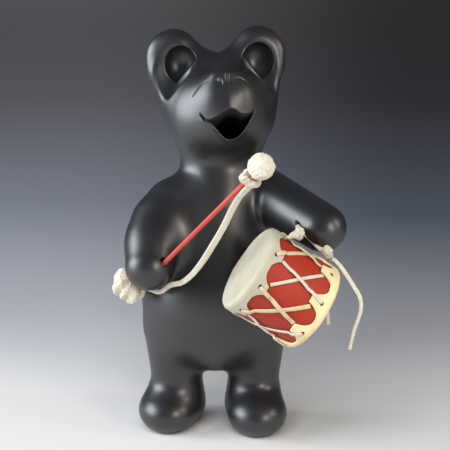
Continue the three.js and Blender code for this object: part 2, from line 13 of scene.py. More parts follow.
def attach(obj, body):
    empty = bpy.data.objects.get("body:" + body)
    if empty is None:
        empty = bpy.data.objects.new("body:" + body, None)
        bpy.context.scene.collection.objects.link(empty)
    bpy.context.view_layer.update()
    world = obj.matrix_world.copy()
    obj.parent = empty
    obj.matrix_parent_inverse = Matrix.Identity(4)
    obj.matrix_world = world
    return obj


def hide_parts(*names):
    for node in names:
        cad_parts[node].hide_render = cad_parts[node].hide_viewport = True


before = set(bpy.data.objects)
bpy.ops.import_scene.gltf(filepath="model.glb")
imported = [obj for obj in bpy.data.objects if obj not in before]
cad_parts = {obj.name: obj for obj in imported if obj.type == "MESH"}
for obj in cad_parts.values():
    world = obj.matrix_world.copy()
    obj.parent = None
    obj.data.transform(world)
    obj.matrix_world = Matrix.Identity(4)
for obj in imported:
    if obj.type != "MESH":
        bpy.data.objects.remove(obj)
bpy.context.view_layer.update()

MM = 0.001
STAND_AT = np.array([-9.8, 39.1, 0.0])  # the bear's middle, in the part's own frame
SIDES = (-1, 1)

TORSO = dict(
    belly=((0, -2, 101), (54.3, 45, 56)),
    chest=((1, 0, 160), (36, 34, 42)),
    neck=((3, 3, 188), (4, 4, 222), 24, 25),
    soft=22,
)
LEG = dict(apart=29, top=76, top_radius=24, ankle=36, ankle_radius=18.8, soft=9)
TOES = dict(apart=33.5, shift=-2, forward=(-6, -13), height=14.5, radii=(22.3, 26.5, 18), soft=12)
HEEL = dict(apart=28, back=8, height=16, radii=(20.3, 19, 18))
RIGHT_ARM = (((-31, -9, 173), (-40, -17, 161), (-44.8, -28, 149), (-46.5, -42, 135)), (19, 18.5, 17.7, 16.9))
LEFT_ARM = (((38, 2, 178), (75, -50, 165)), (19, 17))
RIGHT_BREAST = ((-19, -10, 174), (-31, -21, 152), 17, 16)  # fills the space between the right arm and the chest
ELBOW_SOFT = 9
SHOULDER_SOFT = dict(left=9, right=10)
NECK_SOFT = 12

HEAD = dict(at=(1, 2, 246), turn=5, tilt=22, roll=4)
SKULL = dict(radii=(33, 29, 32), soft=24)
EAR = dict(
    at=(31, 3, 279),
    radii=(19, 9, 20),
    shift=0.8,
    soft=8,
    ridge=((39, 3, 268), (17, 4, 212), 8.5, 9.5),
    ridge_shift=5.5,
    web=((27, 5, 287), (4, 7, 262), 9, 9),
)
EAR_DISH = dict(at=(32, -10, 272), shift=2.5, radii=(13, 6.5, 20), lean=15, cut=11, soft=4)
EAR_BOWL = dict(at=(27.5, -6, 275), shift=3.6, radii=(11.3, 11, 13.3), lean=0, cut=5.8, soft=1.2)
EAR_CUT = (0.795, 0, 0.61)  # the hollows end at a straight edge that faces this way, up and outwards
MUZZLE = dict(at=(4, -12, -13), radii=(34, 36, 27), across=1.5, upright=2.3, soft=10, join=16)
LOBES = dict(apart=7, at=(5, -28, -3), radii=(12, 18, 14), soft=6)
NOSE = dict(at=(3, -44, 7.5), radii=(8, 4, 4), soft=8)
NOSE_FOLDS = (
    ((-0.3, 3.9), (-0.1, 2.0), (0.2, -0.4)),
    ((4.0, 6.5), (4.1, 3.3), (4.2, -0.2)),
    ((6.4, 5.7), (6.7, 3.2), (7.1, 0.2)),
    ((-2.6, 4.2), (-3.1, 2.0)),
)
MOUTH_OUTLINE = (
    (-15.5, -17), (-12, -21.5), (-9.5, -22.5), (-4, -20.8), (3, -17.5), (7.5, -18), (12.5, -21), (18, -20.3),
    (22, -17.5), (18, -24), (13, -31), (7, -35), (1, -35), (-4.5, -29.7), (-9, -24), (-13, -21.8),
)
MOUTH_BACK = 4
LIP = dict(height=0.55, width=0.9, from_edge=1.1, fades=(-19, -25))
EYES = (
    ((-19.5, -3.9), (-17.6, -1.9), (-14.7, 1.0), (-11.8, 3.4), (-8.7, 4.7)),
    ((10.6, 3.2), (13.5, 3.9), (16.3, 2.7), (18.9, 0.2)),
)

DRUM = dict(front=(23.3, -78, 144), back=(67.8, -73.5, 114), radius=30, wall=3)
GAP = 0.3
SKIN = 1.4
BATTER = dict(gap=5.2, tip=11, hole=6, first_tab=45, skew=1.6, seed=71)
DRUM_BACK = dict(gap=4, tip=13.5, hole=5.5, first_tab=22, skew=1.6, seed=81)
TABS = 8
TAB_TIP = 0.27  # the blunt part of each tab, as a share of its width
LACE = dict(widths=(2.8, 2.2), thickness=0.8, cross=0.35)

STICK = dict(entry=(-34.9, -52, 140.3), ball=(30.3, -112, 219.4), radius=1.7, rear=42, into_ball=2.7)
BALL = dict(radius=8.7, waist=3.4, collar=6.6, collar_length=16.5)
TUFT = dict(at=(-61.3, -26.6, 117.3), radius=13, thickness=9.3)
PAW_HOLE = dict(radius=2.3, mouth_radius=3.1, mouth_shift=(-0.8, 0, 0.6))
ARM_HOLE = dict(start=(57.8, -56, 167), end=(72.8, -62.5, 153), radius=2.5)
FRONT_KNOT = (57.7, -75.5, 167)
FRONT_FLAP = (49.4, -86, 167.1)
REAR_KNOT = (77.6, -65.6, 151.8)

THONG = (
    (23.2, -104.5, 205.1), (17.5, -97.5, 197.7), (13, -92, 188.9), (6.4, -84, 173.5), (-1.1, -75, 158.2),
    (-8.8, -64, 143.4), (-16.3, -54.5, 131.9), (-23.6, -48.5, 124.9), (-30.8, -44, 122.1), (-39.2, -40.5, 116),
    (-44.6, -35.5, 116), (-47.6, -32.4, 116.2),
)
TAIL = (
    (80.8, -63, 146.5), (83.8, -60.5, 143.8), (87.4, -58.5, 139.6), (92, -58, 133), (97.3, -58, 124.6),
    (101.5, -59, 116.9), (102.3, -60, 109.9), (100.7, -60, 102.6), (98.4, -60, 95.3), (96.5, -60, 87.2),
    (95.3, -60, 79.5),
)
SHORT_TAIL = (
    (78.8, -60, 146), (79.4, -50, 141), (79.5, -42, 131), (79.5, -37.5, 118), (80.4, -37, 106),
    (81.8, -38.5, 91),
)


def unit(v):
    v = np.asarray(v, float)
    return v / np.linalg.norm(v, axis=-1, keepdims=v.ndim > 1)


def in_metres(points):
    return (np.asarray(points, float) + STAND_AT) * MM


# The camera stands where the picture was taken from.
CAMERA = dict(pitch=13, distance=900, target=(7.4, 0, 155.5), focal_px=1221, picture_px=450, sensor=36)


def make_camera():
    pitch = math.radians(CAMERA["pitch"])
    look = np.array([0, math.cos(pitch), -math.sin(pitch)])
    data = bpy.data.cameras.new("camera")
    data.sensor_width = CAMERA["sensor"]
    data.lens = CAMERA["sensor"] * CAMERA["focal_px"] / CAMERA["picture_px"]
    camera = bpy.data.objects.new("camera", data)
    camera.location = in_metres(np.array(CAMERA["target"]) - CAMERA["distance"] * look)
    camera.rotation_euler = (math.radians(90) - pitch, 0, 0)
    bpy.context.scene.collection.objects.link(camera)
    bpy.context.scene.camera = camera


make_camera()


# Materials


class Wire:
    """An output socket in a material's nodes. Arithmetic on it adds Math nodes."""

    def __init__(self, tree, socket=None):
        self.tree = tree
        self.socket = socket

    def node(self, kind, settings=(), outlet=0, **inlets):
        """Adds a node: its settings first, then what its sockets take. _0 means the socket numbered 0."""
        made = self.tree.nodes.new(kind)
        for name, value in dict(settings).items():
            if name == "stops":
                ramp = made.color_ramp
                while len(ramp.elements) < len(value):
                    ramp.elements.new(0.5)
                for element, (at, colour) in zip(ramp.elements, value):
                    element.position = at
                    element.color = (*colour, 1)
            else:
                setattr(made, name, value)
        for name, value in inlets.items():
            inlet = made.inputs[int(name[1:])] if name[0] == "_" else made.inputs[name.replace("_", " ")]
            if isinstance(value, Wire):
                self.tree.links.new(value.socket, inlet)
            elif hasattr(value, "__len__") and len(value) == 3 and len(inlet.default_value) == 4:
                inlet.default_value = (*value, 1)
            else:
                inlet.default_value = value
        return Wire(self.tree, made.outputs[outlet])

    def maths(self, operation, a, b=0.0, clamp=False):
        return self.node("ShaderNodeMath", {"operation": operation, "use_clamp": clamp}, _0=a, _1=b)

    def __add__(self, other):
        return self.maths("ADD", self, other)

    def __sub__(self, other):
        return self.maths("SUBTRACT", self, other)

    def __rsub__(self, other):
        return self.maths("SUBTRACT", other, self)

    def __mul__(self, other):
        return self.maths("MULTIPLY", self, other)

    def __truediv__(self, other):
        return self.maths("DIVIDE", self, other)

    def __pow__(self, other):
        return self.maths("POWER", self, other)

    __radd__ = __add__
    __rmul__ = __mul__

    def between(self, low, high, to_low=0.0, to_high=1.0):
        """Rises smoothly from to_low to to_high as this goes from low to high."""
        return self.node(
            "ShaderNodeMapRange",
            {"interpolation_type": "SMOOTHSTEP"},
            Value=self, From_Min=low, From_Max=high, To_Min=to_low, To_Max=to_high,
        )

    def mix(self, low, high):
        """From the colour low to the colour high as this goes from 0 to 1."""
        return self.node("ShaderNodeMix", {"data_type": "RGBA"}, outlet=2, _0=self, _6=low, _7=high)

    def place(self):
        return self.node("ShaderNodeTexCoord", outlet="Object")

    def noise(self, size, detail=4, roughness=0.5, stretch=(1, 1, 1), place=None):
        """Noise about size metres across, from 0 to 1."""
        at = (place or self.place()).node("ShaderNodeMapping", _3=stretch, Vector=place or self.place())
        return self.node(
            "ShaderNodeTexNoise", Vector=at, Scale=1 / size, Detail=detail, Roughness=roughness
        )

    def mark(self, name):
        """A number that the mesh holds at each vertex."""
        return self.node("ShaderNodeAttribute", {"attribute_name": name}, outlet="Fac")

    def bump(self, height, depth, strength=1.0):
        """A normal from a height that goes from 0 to 1 over a depth in metres."""
        return self.node("ShaderNodeBump", Height=height, Distance=depth, Strength=strength)


def material(name, build):
    """A material whose surface build(start, surface) sets up on a Principled shader."""
    made = bpy.data.materials.new(name)
    made.use_nodes = True
    tree = made.node_tree
    surface = next(n for n in tree.nodes if n.type == "BSDF_PRINCIPLED")

    def put(**inlets):
        for inlet, value in inlets.items():
            socket = surface.inputs[inlet.replace("_", " ")]
            if isinstance(value, Wire):
                tree.links.new(value.socket, socket)
            else:
                is_colour = hasattr(value, "__len__") and len(socket.default_value) == 4
                socket.default_value = (*value, 1) if is_colour else value

    build(Wire(tree), put)
    return made


def burnished_clay(start, put):
    clouds = start.noise(0.03, detail=3)
    streaks = start.noise(0.006, detail=5, stretch=(1, 1, 0.35))
    grain = start.noise(0.0007, detail=2)
    specks = start.node("ShaderNodeTexVoronoi", Vector=start.place(), Scale=420, Randomness=1.0)
    dust = specks.between(0.10, 0.02) * start.noise(0.02).between(0.5, 0.68)
    black = clouds.mix((0.0065, 0.0068, 0.0078), (0.0110, 0.0114, 0.0126))
    dusty = (dust * 0.5).mix(black, (0.16, 0.16, 0.17))
    # Inside the mouth the clay is unburnished and rougher. Its colour is also taken almost to black as painted shade in
    # the deep cavity.
    raw_and_shaded = start.mark("in_mouth")
    put(
        Base_Color=raw_and_shaded.mix(dusty, (0.0005, 0.0005, 0.0005)),
        Roughness=0.30 + clouds * 0.10 + streaks * 0.08 + dust * 0.2 + raw_and_shaded * 0.5,
        Specular_IOR_Level=0.85,
        Normal=start.bump(grain * 0.5 + streaks * 0.5, 0.00006, 0.35),
    )


def drum_paint(start, put):
    grain = start.noise(0.0018, detail=6, roughness=0.6)
    blotches = start.noise(0.009, detail=3)
    dark = blotches.mix((0.28, 0.017, 0.005), (0.37, 0.026, 0.008))
    scuffs = start.noise(0.0025, detail=8, roughness=0.7).between(0.66, 0.80)
    put(
        Base_Color=(scuffs * 0.5).mix(dark, (0.52, 0.12, 0.07)),
        Roughness=0.52 + grain * 0.18,
        Normal=start.bump(grain, 0.00035, 0.5),
    )


def rawhide(pale, warm, stain):
    def build(start, put):
        blotches = start.noise(0.012, detail=4)
        veins = start.noise(0.0035, detail=7, roughness=0.65)
        fine = start.noise(0.0005, detail=3)
        hide = blotches.between(0.35, 0.7).mix(pale, warm)
        aged = (veins.between(0.55, 0.75) * 0.25).mix(hide, stain)
        # Painted shade: the punched holes are only shallow dents, coloured the near-black red of the shell seen in
        # shadow through them.
        hole = start.mark("hole")
        put(
            Base_Color=hole.mix(aged, (0.05, 0.012, 0.008)),
            Roughness=0.55 + veins * 0.2,
            Normal=start.bump(veins * 0.6 + fine * 0.4, 0.0003, 0.6),
            Subsurface_Weight=0.08,
            Subsurface_Radius=(0.004, 0.0025, 0.0015),
        )

    return build


def lace_hide(start, put):
    along = start.noise(0.004, detail=5, roughness=0.6)
    tone = start.mark("tone")
    strip = tone.mix((0.56, 0.53, 0.43), (0.56, 0.46, 0.27))
    put(
        Base_Color=(along.between(0.45, 0.75) * 0.4).mix(strip, (0.40, 0.30, 0.17)),
        Roughness=0.6 + along * 0.15,
        Normal=start.bump(along, 0.0002, 0.5),
    )


def soft_hide(start, put):
    nap = start.noise(0.00045, detail=4, roughness=0.7)
    lumps = start.noise(0.0022, detail=4, roughness=0.6)
    # The fold mark paints shade: the hide is coloured darker in its creases and gathers.
    fold = start.mark("fold")
    base = lumps.between(0.3, 0.7).mix((0.56, 0.51, 0.40), (0.68, 0.64, 0.54))
    put(
        Base_Color=fold.mix(base, (0.42, 0.34, 0.22)),
        Roughness=0.9,
        Sheen_Weight=0.25,
        Sheen_Roughness=0.5,
        Normal=start.bump(nap * 0.5 + lumps * 0.5, 0.0007, 0.8),
    )


def red_dowel(start, put):
    grain = start.noise(0.0012, detail=4)
    put(
        Base_Color=grain.mix((0.38, 0.040, 0.020), (0.48, 0.060, 0.034)),
        Roughness=0.38 + grain * 0.15,
        Normal=start.bump(grain, 0.0001, 0.4),
    )


def sinew_thread(start, put):
    fibres = start.noise(0.0006, detail=4)
    put(
        Base_Color=fibres.mix((0.22, 0.10, 0.035), (0.42, 0.23, 0.09)),
        Roughness=0.5,
        Normal=start.bump(fibres, 0.0002, 0.7),
    )


CLAY = material("burnished_clay", burnished_clay)
PAINT = material("drum_paint", drum_paint)
WHITE_HIDE = material("white_rawhide", rawhide((0.46, 0.43, 0.33), (0.41, 0.38, 0.28), (0.35, 0.29, 0.20)))
CREAM_HIDE = material("cream_rawhide", rawhide((0.80, 0.67, 0.40), (0.72, 0.57, 0.30), (0.55, 0.38, 0.16)))
LACE_HIDE = material("lace_rawhide", lace_hide)
SOFT_HIDE = material("soft_white_hide", soft_hide)
DOWEL = material("red_dowel", red_dowel)
SINEW = material("sinew", sinew_thread)


# Meshes


def piece(name, points, faces, look, replaces, marks=(), normals=None):
    """A smooth piece from points in millimetres, in the place of the CAD nodes that it replaces."""
    mesh = bpy.data.meshes.new(name)
    mesh.from_pydata(in_metres(points).tolist(), [], [list(map(int, f)) for f in faces])
    mesh.shade_smooth()
    for mark, values in dict(marks).items():
        attribute = mesh.attributes.new(mark, "FLOAT", "POINT")
        attribute.data.foreach_set("value", np.asarray(values, np.float32))
    if normals is not None:
        mesh.normals_split_custom_set_from_vertices(np.asarray(normals).tolist())
    mesh.materials.append(look)
    made = bpy.data.objects.new(name, mesh)
    bpy.context.scene.collection.objects.link(made)
    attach(made, "root")
    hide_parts(*replaces)
    return made


def noise(points, size, seed):
    """Smooth noise about size millimetres across, from -1 to 1, the same each run."""
    p = np.asarray(points, float) / size
    cell = np.floor(p).astype(np.int64)
    t = p - cell
    t = t * t * t * (t * (t * 6 - 15) + 10)
    total = np.zeros(len(p))
    for corner in itertools.product((0, 1), repeat=3):
        c = (cell + corner).astype(np.uint64)
        h = c[:, 0] * np.uint64(73856093) ^ c[:, 1] * np.uint64(19349663) ^ c[:, 2] * np.uint64(83492791)
        h = (h ^ np.uint64(seed * 2654435761)) * np.uint64(0x9E3779B97F4A7C15)
        value = ((h >> np.uint64(40)) & np.uint64(0xFFFF)).astype(float) / 32767.5 - 1
        weight = np.prod(np.where(corner, t, 1 - t), axis=1)
        total += value * weight
    return total


# Forms: each gives the distance from points to a surface, negative inside.


def ellipsoid(at, radii, own=None):
    at, r = np.array(at, float), np.array(radii, float)

    def form(p):
        q = p - at
        if own is not None:
            q = q @ own
        q = q / r
        k = np.linalg.norm(q, axis=-1)
        steep = np.linalg.norm(q / r, axis=-1)
        return np.where(steep < 1e-9, -r.min(), k * (k - 1) / np.maximum(steep, 1e-9))

    return form


def rod(start, end, start_radius, end_radius):
    start, end = np.array(start, float), np.array(end, float)
    length = np.linalg.norm(end - start)
    along = (end - start) / length
    slope = (start_radius - end_radius) / length
    square = math.sqrt(1 - slope * slope)

    def form(p):
        rel = p - start
        t = rel @ along
        away = np.sqrt(np.maximum((rel * rel).sum(-1) - t * t, 0))
        place = slope * away - square * t
        middle = away * square + t * slope - start_radius
        past = np.where(place <= -square * length, np.hypot(t - length, away) - end_radius, middle)
        return np.where(place >= 0, np.hypot(t, away) - start_radius, past)

    return form


def soft_min(a, b, soft):
    h = np.maximum(soft - np.abs(a - b), 0) / soft
    return np.minimum(a, b) - h * h * soft / 4


def join(soft, *forms):
    def form(p):
        d = np.full(p.shape[:-1], 1e3)
        for each in forms:
            d = soft_min(d, each(p), soft)
        return d

    return form


def carve(soft, form, tool):
    return lambda p: -soft_min(-form(p), tool(p), soft)


def cut(form, at, way):
    """The part of a form behind a plane."""
    return lambda p: np.maximum(form(p), (p - at) @ way)


def prow(at, radii, across, upright):
    """A rounded block: across shapes its level outline, 1 for a diamond and 2 for an oval, and upright
    its profile."""
    at, r = np.array(at, float), np.array(radii, float)

    def form(p):
        x, y, z = np.maximum(np.abs((p - at) / r), 1e-6).T
        level = (x**across + y**across) ** (1 / across)
        k = (level**upright + z**upright) ** (1 / upright)
        out = (level / k) ** (upright - 1)
        slope = np.stack([
            out * (x / level) ** (across - 1), out * (y / level) ** (across - 1), (z / k) ** (upright - 1)
        ])
        return (k - 1) / np.linalg.norm(slope / r[:, None], axis=0)

    return form


def only_where(near, form):
    """A form that is worked out only where near(points) holds, and is far off elsewhere."""
    def limited(p):
        d = np.full(len(p), 1e3)
        chosen = near(p)
        d[chosen] = form(p[chosen])
        return d

    return limited


def spin(axis, angle):
    return np.array(Matrix.Rotation(math.radians(angle), 3, axis))


HEAD_TURN = spin("Z", HEAD["turn"]) @ spin("X", -HEAD["tilt"]) @ spin("Y", -HEAD["roll"])


def to_head(points):
    return (points - np.array(HEAD["at"], float)) @ HEAD_TURN


def from_head(points):
    return np.asarray(points, float) @ HEAD_TURN.T + HEAD["at"]


def torso():
    return join(
        TORSO["soft"], ellipsoid(*TORSO["belly"]), ellipsoid(*TORSO["chest"]), rod(*TORSO["neck"])
    )


def leg(side):
    top = (side * LEG["apart"], -1, LEG["top"])
    ankle = (side * LEG["apart"], 2, LEG["ankle"])
    toes_at = (side * TOES["apart"] + TOES["shift"], TOES["forward"][side > 0], TOES["height"])
    heel_at = (side * HEEL["apart"], HEEL["back"], HEEL["height"])
    shank = rod(top, ankle, LEG["top_radius"], LEG["ankle_radius"])
    foot = join(TOES["soft"], ellipsoid(toes_at, TOES["radii"]), ellipsoid(heel_at, HEEL["radii"]))
    return join(TOES["soft"], shank, foot)


def arm(joints, radii):
    parts = [rod(joints[i], joints[i + 1], radii[i], radii[i + 1]) for i in range(len(joints) - 1)]
    return join(ELBOW_SOFT, *parts)


def at_ear(side, place, shift=EAR["shift"]):
    x, y, z = place
    return (side * x + shift, y + math.sin(math.radians(HEAD["turn"])) * side * x, z + side)


def ear_hollow(side, values):
    """An oval hollow in an ear, with a straight lower edge."""
    at = np.array(at_ear(side, values["at"], values["shift"]))
    way = np.array(EAR_CUT) * (-side, 1, -1)
    hollow = ellipsoid(at, values["radii"], spin("Y", -side * values["lean"]))
    return cut(hollow, at + way * values["cut"], way)


def ear(side):
    start, end, *radii = EAR["ridge"]
    web_start, web_end, *web_radii = EAR["web"]
    return join(
        EAR["soft"],
        ellipsoid(at_ear(side, EAR["at"]), EAR["radii"]),
        rod(at_ear(side, start), at_ear(side, end, EAR["ridge_shift"]), *radii),
        rod(at_ear(side, web_start), web_end, *web_radii),
    )


def face():
    x, y, z = LOBES["at"]
    lobes = join(LOBES["soft"], *[ellipsoid((x + side * LOBES["apart"], y, z), LOBES["radii"]) for side in SIDES])
    nosed = join(NOSE["soft"], lobes, ellipsoid(NOSE["at"], NOSE["radii"]))
    block = prow(MUZZLE["at"], MUZZLE["radii"], MUZZLE["across"], MUZZLE["upright"])
    whole = join(MUZZLE["soft"], nosed, block)
    return lambda p: whole(to_head(p))


def head():
    skull = ellipsoid(HEAD["at"], SKULL["radii"], HEAD_TURN)
    ears = join(1, *[ear(side) for side in SIDES])
    form = join(MUZZLE["join"], join(SKULL["soft"], skull, face()), ears)
    for side in SIDES:
        form = carve(EAR_DISH["soft"], form, ear_hollow(side, EAR_DISH))
    return form


def smooth_route(route, count, closed=False):
    """Points along a centripetal curve through a route."""
    p = np.array(route, float)
    p = np.vstack([p[-1], p, p[:2]]) if closed else np.vstack([2 * p[0] - p[1], p, 2 * p[-1] - p[-2]])
    made = []
    spans = len(p) - 3
    for s in range(spans):
        a, b, c, d = p[s : s + 4]
        t = np.cumsum([0, *[max(np.linalg.norm(v), 1e-6) ** 0.5 for v in (b - a, c - b, d - c)]])
        last = s == spans - 1 and not closed
        u = np.linspace(t[1], t[2], count + last, endpoint=bool(last))[:, None]
        ab = a + (b - a) * (u - t[0]) / (t[1] - t[0])
        bc = b + (c - b) * (u - t[1]) / (t[2] - t[1])
        cd = c + (d - c) * (u - t[2]) / (t[3] - t[2])
        abc = ab + (bc - ab) * (u - t[0]) / (t[2] - t[0])
        bcd = bc + (cd - bc) * (u - t[1]) / (t[3] - t[1])
        made.append(abc + (bcd - abc) * (u - t[1]) / (t[2] - t[1]))
    return np.vstack(made)


class Outline:
    """A closed outline in the head's x and z. Its distances come from a fine grid, negative inside."""

    STEP = 0.25
    MARGIN = 12

    def __init__(self, corners):
        line = np.array(corners, float)
        self.low = line.min(0) - self.MARGIN
        size = np.ceil((line.max(0) + self.MARGIN - self.low) / self.STEP).astype(int) + 1
        x, z = [self.low[i] + np.arange(size[i]) * self.STEP for i in (0, 1)]
        p = np.stack(np.meshgrid(x, z, indexing="ij"), -1)
        nearest = np.full(size, 1e9)
        inside = np.zeros(size, bool)
        for a, b in zip(line, np.roll(line, -1, 0)):
            t = np.clip(((p - a) @ (b - a)) / ((b - a) @ (b - a)), 0, 1)
            nearest = np.minimum(nearest, np.linalg.norm(p - a - t[..., None] * (b - a), axis=-1))
            spans = (a[1] > p[..., 1]) != (b[1] > p[..., 1])
            with np.errstate(divide="ignore", invalid="ignore"):
                cross = (b[0] - a[0]) * (p[..., 1] - a[1]) / (b[1] - a[1]) + a[0]
            inside ^= spans & (p[..., 0] < cross)
        self.table = np.where(inside, -nearest, nearest)

    def __call__(self, xz):
        q = np.clip((xz - self.low) / self.STEP, 0, np.array(self.table.shape) - 1.001)
        i = q.astype(int)
        t = q - i
        near, far = self.table[i[:, 0], :], self.table[i[:, 0] + 1, :]
        rows = np.arange(len(q))
        low = near[rows, i[:, 1]] * (1 - t[:, 0]) + far[rows, i[:, 1]] * t[:, 0]
        high = near[rows, i[:, 1] + 1] * (1 - t[:, 0]) + far[rows, i[:, 1] + 1] * t[:, 0]
        return low * (1 - t[:, 1]) + high * t[:, 1]


def wrap(form, low, high, cell):
    """A closed mesh of a form: one point in each cell that its surface crosses."""
    axes = [np.arange(a, b + cell, cell) for a, b in zip(low, high)]
    grid = np.stack(np.meshgrid(*axes, indexing="ij"), -1)
    value = form(grid.reshape(-1, 3)).reshape(grid.shape[:3])
    inside = value < 0
    cells = np.array(inside.shape) - 1
    total, count = np.zeros((*cells, 3)), np.zeros(cells)
    edges = []
    for axis in range(3):
        near, far = [slice(None)] * 3, [slice(None)] * 3
        near[axis], far[axis] = slice(0, -1), slice(1, None)
        near, far = tuple(near), tuple(far)
        crossing = inside[near] != inside[far]
        u, w = value[near], value[far]
        at = grid[near].copy()
        at[..., axis] += cell * np.where(crossing, u / np.where(crossing, u - w, 1), 0)
        others = [a for a in range(3) if a != axis]
        for step in itertools.product((0, 1), repeat=2):
            pick = [slice(None)] * 3
            for a, s in zip(others, step):
                pick[a] = slice(s, s + cells[a])
            pick = tuple(pick)
            total += at[pick] * crossing[pick][..., None]
            count += crossing[pick]
        edges.append((axis, crossing, inside[near]))
    number = np.full(cells, -1)
    used = count > 0
    number[used] = np.arange(used.sum())
    points = total[used] / count[used][:, None]
    triangles = []
    for axis, crossing, starts_inside in edges:
        b, c = (axis + 1) % 3, (axis + 2) % 3
        found = np.argwhere(crossing)
        found = found[(found[:, b] > 0) & (found[:, c] > 0)]
        found = found[(found[:, b] < cells[b]) & (found[:, c] < cells[c])]
        ring = []
        for db, dc in ((1, 1), (0, 1), (0, 0), (1, 0)):
            at = found.copy()
            at[:, b] -= db
            at[:, c] -= dc
            ring.append(number[tuple(at.T)])
        ring = np.stack(ring, -1)
        flip = ~starts_inside[tuple(found.T)]
        ring[flip] = ring[flip][:, ::-1]
        p, q, r, s = points[ring].transpose(1, 0, 2)
        short = np.linalg.norm(p - r, axis=1) < np.linalg.norm(q - s, axis=1)
        one, other = ring[short], ring[~short]
        triangles += [one[:, [0, 1, 2]], one[:, [0, 2, 3]], other[:, [1, 2, 3]], other[:, [1, 3, 0]]]
    return points, np.vstack(triangles)


def slopes(form, points, step=0.04):
    ways = np.array([(1, 1, 1), (1, -1, -1), (-1, 1, -1), (-1, -1, 1)], float)
    return sum(way * form(points + way * step)[:, None] for way in ways) / (4 * step)


def settle(form, points, reach, rounds=4, fresh=False):
    """Moves points along the form's slope onto its surface. The slope is worked out anew each second
    round, or each round when fresh."""
    for each in range(rounds):
        if each % 2 == 0 or fresh:
            slope = slopes(form, points)
        move = -form(points)[:, None] * slope / np.maximum((slope * slope).sum(1), 0.05)[:, None]
        size = np.linalg.norm(move, axis=1, keepdims=True)
        points = points + move * np.minimum(1, reach / np.maximum(size, 1e-9))
    return points


def refine(points, triangles, wanted):
    """Halves every edge that is longer than wanted there."""
    sides = np.sort(np.stack([triangles, np.roll(triangles, -1, 1)], -1), -1).reshape(-1, 2)
    keys, index = np.unique(sides, axis=0, return_inverse=True)
    index = index.reshape(-1, 3)
    a, b = points[keys[:, 0]], points[keys[:, 1]]
    middle = (a + b) / 2
    long = np.linalg.norm(a - b, axis=1) > wanted(middle)
    number = np.full(len(keys), -1)
    number[long] = len(points) + np.arange(long.sum())
    points = np.vstack([points, middle[long]])
    halved = number[index]
    count = (halved >= 0).sum(1)
    made = [triangles[count == 0]]
    t, m = triangles[count == 3], halved[count == 3]
    made += [
        np.stack([t[:, 0], m[:, 0], m[:, 2]], 1),
        np.stack([m[:, 0], t[:, 1], m[:, 1]], 1),
        np.stack([m[:, 2], m[:, 1], t[:, 2]], 1),
        m,
    ]
    for turn in range(3):
        t, m = np.roll(triangles, -turn, 1), np.roll(halved, -turn, 1)
        one = (count == 1) & (m[:, 0] >= 0)
        p, n = t[one], m[one]
        made += [np.stack([p[:, 0], n[:, 0], p[:, 2]], 1), np.stack([n[:, 0], p[:, 1], p[:, 2]], 1)]
        two = (count == 2) & (m[:, 2] < 0)
        p, n = t[two], m[two]
        made += [
            np.stack([n[:, 0], p[:, 1], n[:, 1]], 1),
            np.stack([p[:, 0], n[:, 0], n[:, 1]], 1),
            np.stack([p[:, 0], n[:, 1], p[:, 2]], 1),
        ]
    return points, np.vstack(made)


def on_face(form, x, z):
    """The point of the face at x and z in the head's frame."""
    y = np.arange(-70, 20, 0.25)
    line = from_head(np.stack([np.full_like(y, x), y, np.full_like(y, z)], -1))
    away = form(line)
    first = int(np.argmax(away < 0))
    share = away[first - 1] / (away[first - 1] - away[first])
    return line[first - 1] + share * (line[first] - line[first - 1])


def groove(form, route, radius, steps=8):
    """A row of tapered rods along a line on the face, thickest in the middle."""
    line = smooth_route([(x, 0, z) for x, z in route], steps)
    points = [on_face(form, x, z) for x, _, z in line]
    thick = radius * np.sin(np.linspace(0.35, math.pi - 0.35, len(points)))
    rods = [rod(points[i], points[i + 1], thick[i], thick[i + 1]) for i in range(len(points) - 1)]

    def tool(p):
        d = np.full(len(p), 1e3)
        near = np.linalg.norm(p - np.mean(points, 0), axis=1) < 24
        q = p[near]
        best = np.full(len(q), 1e3)
        for each in rods:
            best = np.minimum(best, each(q))
        d[near] = best
        return d

    return tool


def along_stick(distance):
    return np.array(STICK["entry"]) + distance * unit(np.array(STICK["ball"]) - STICK["entry"])


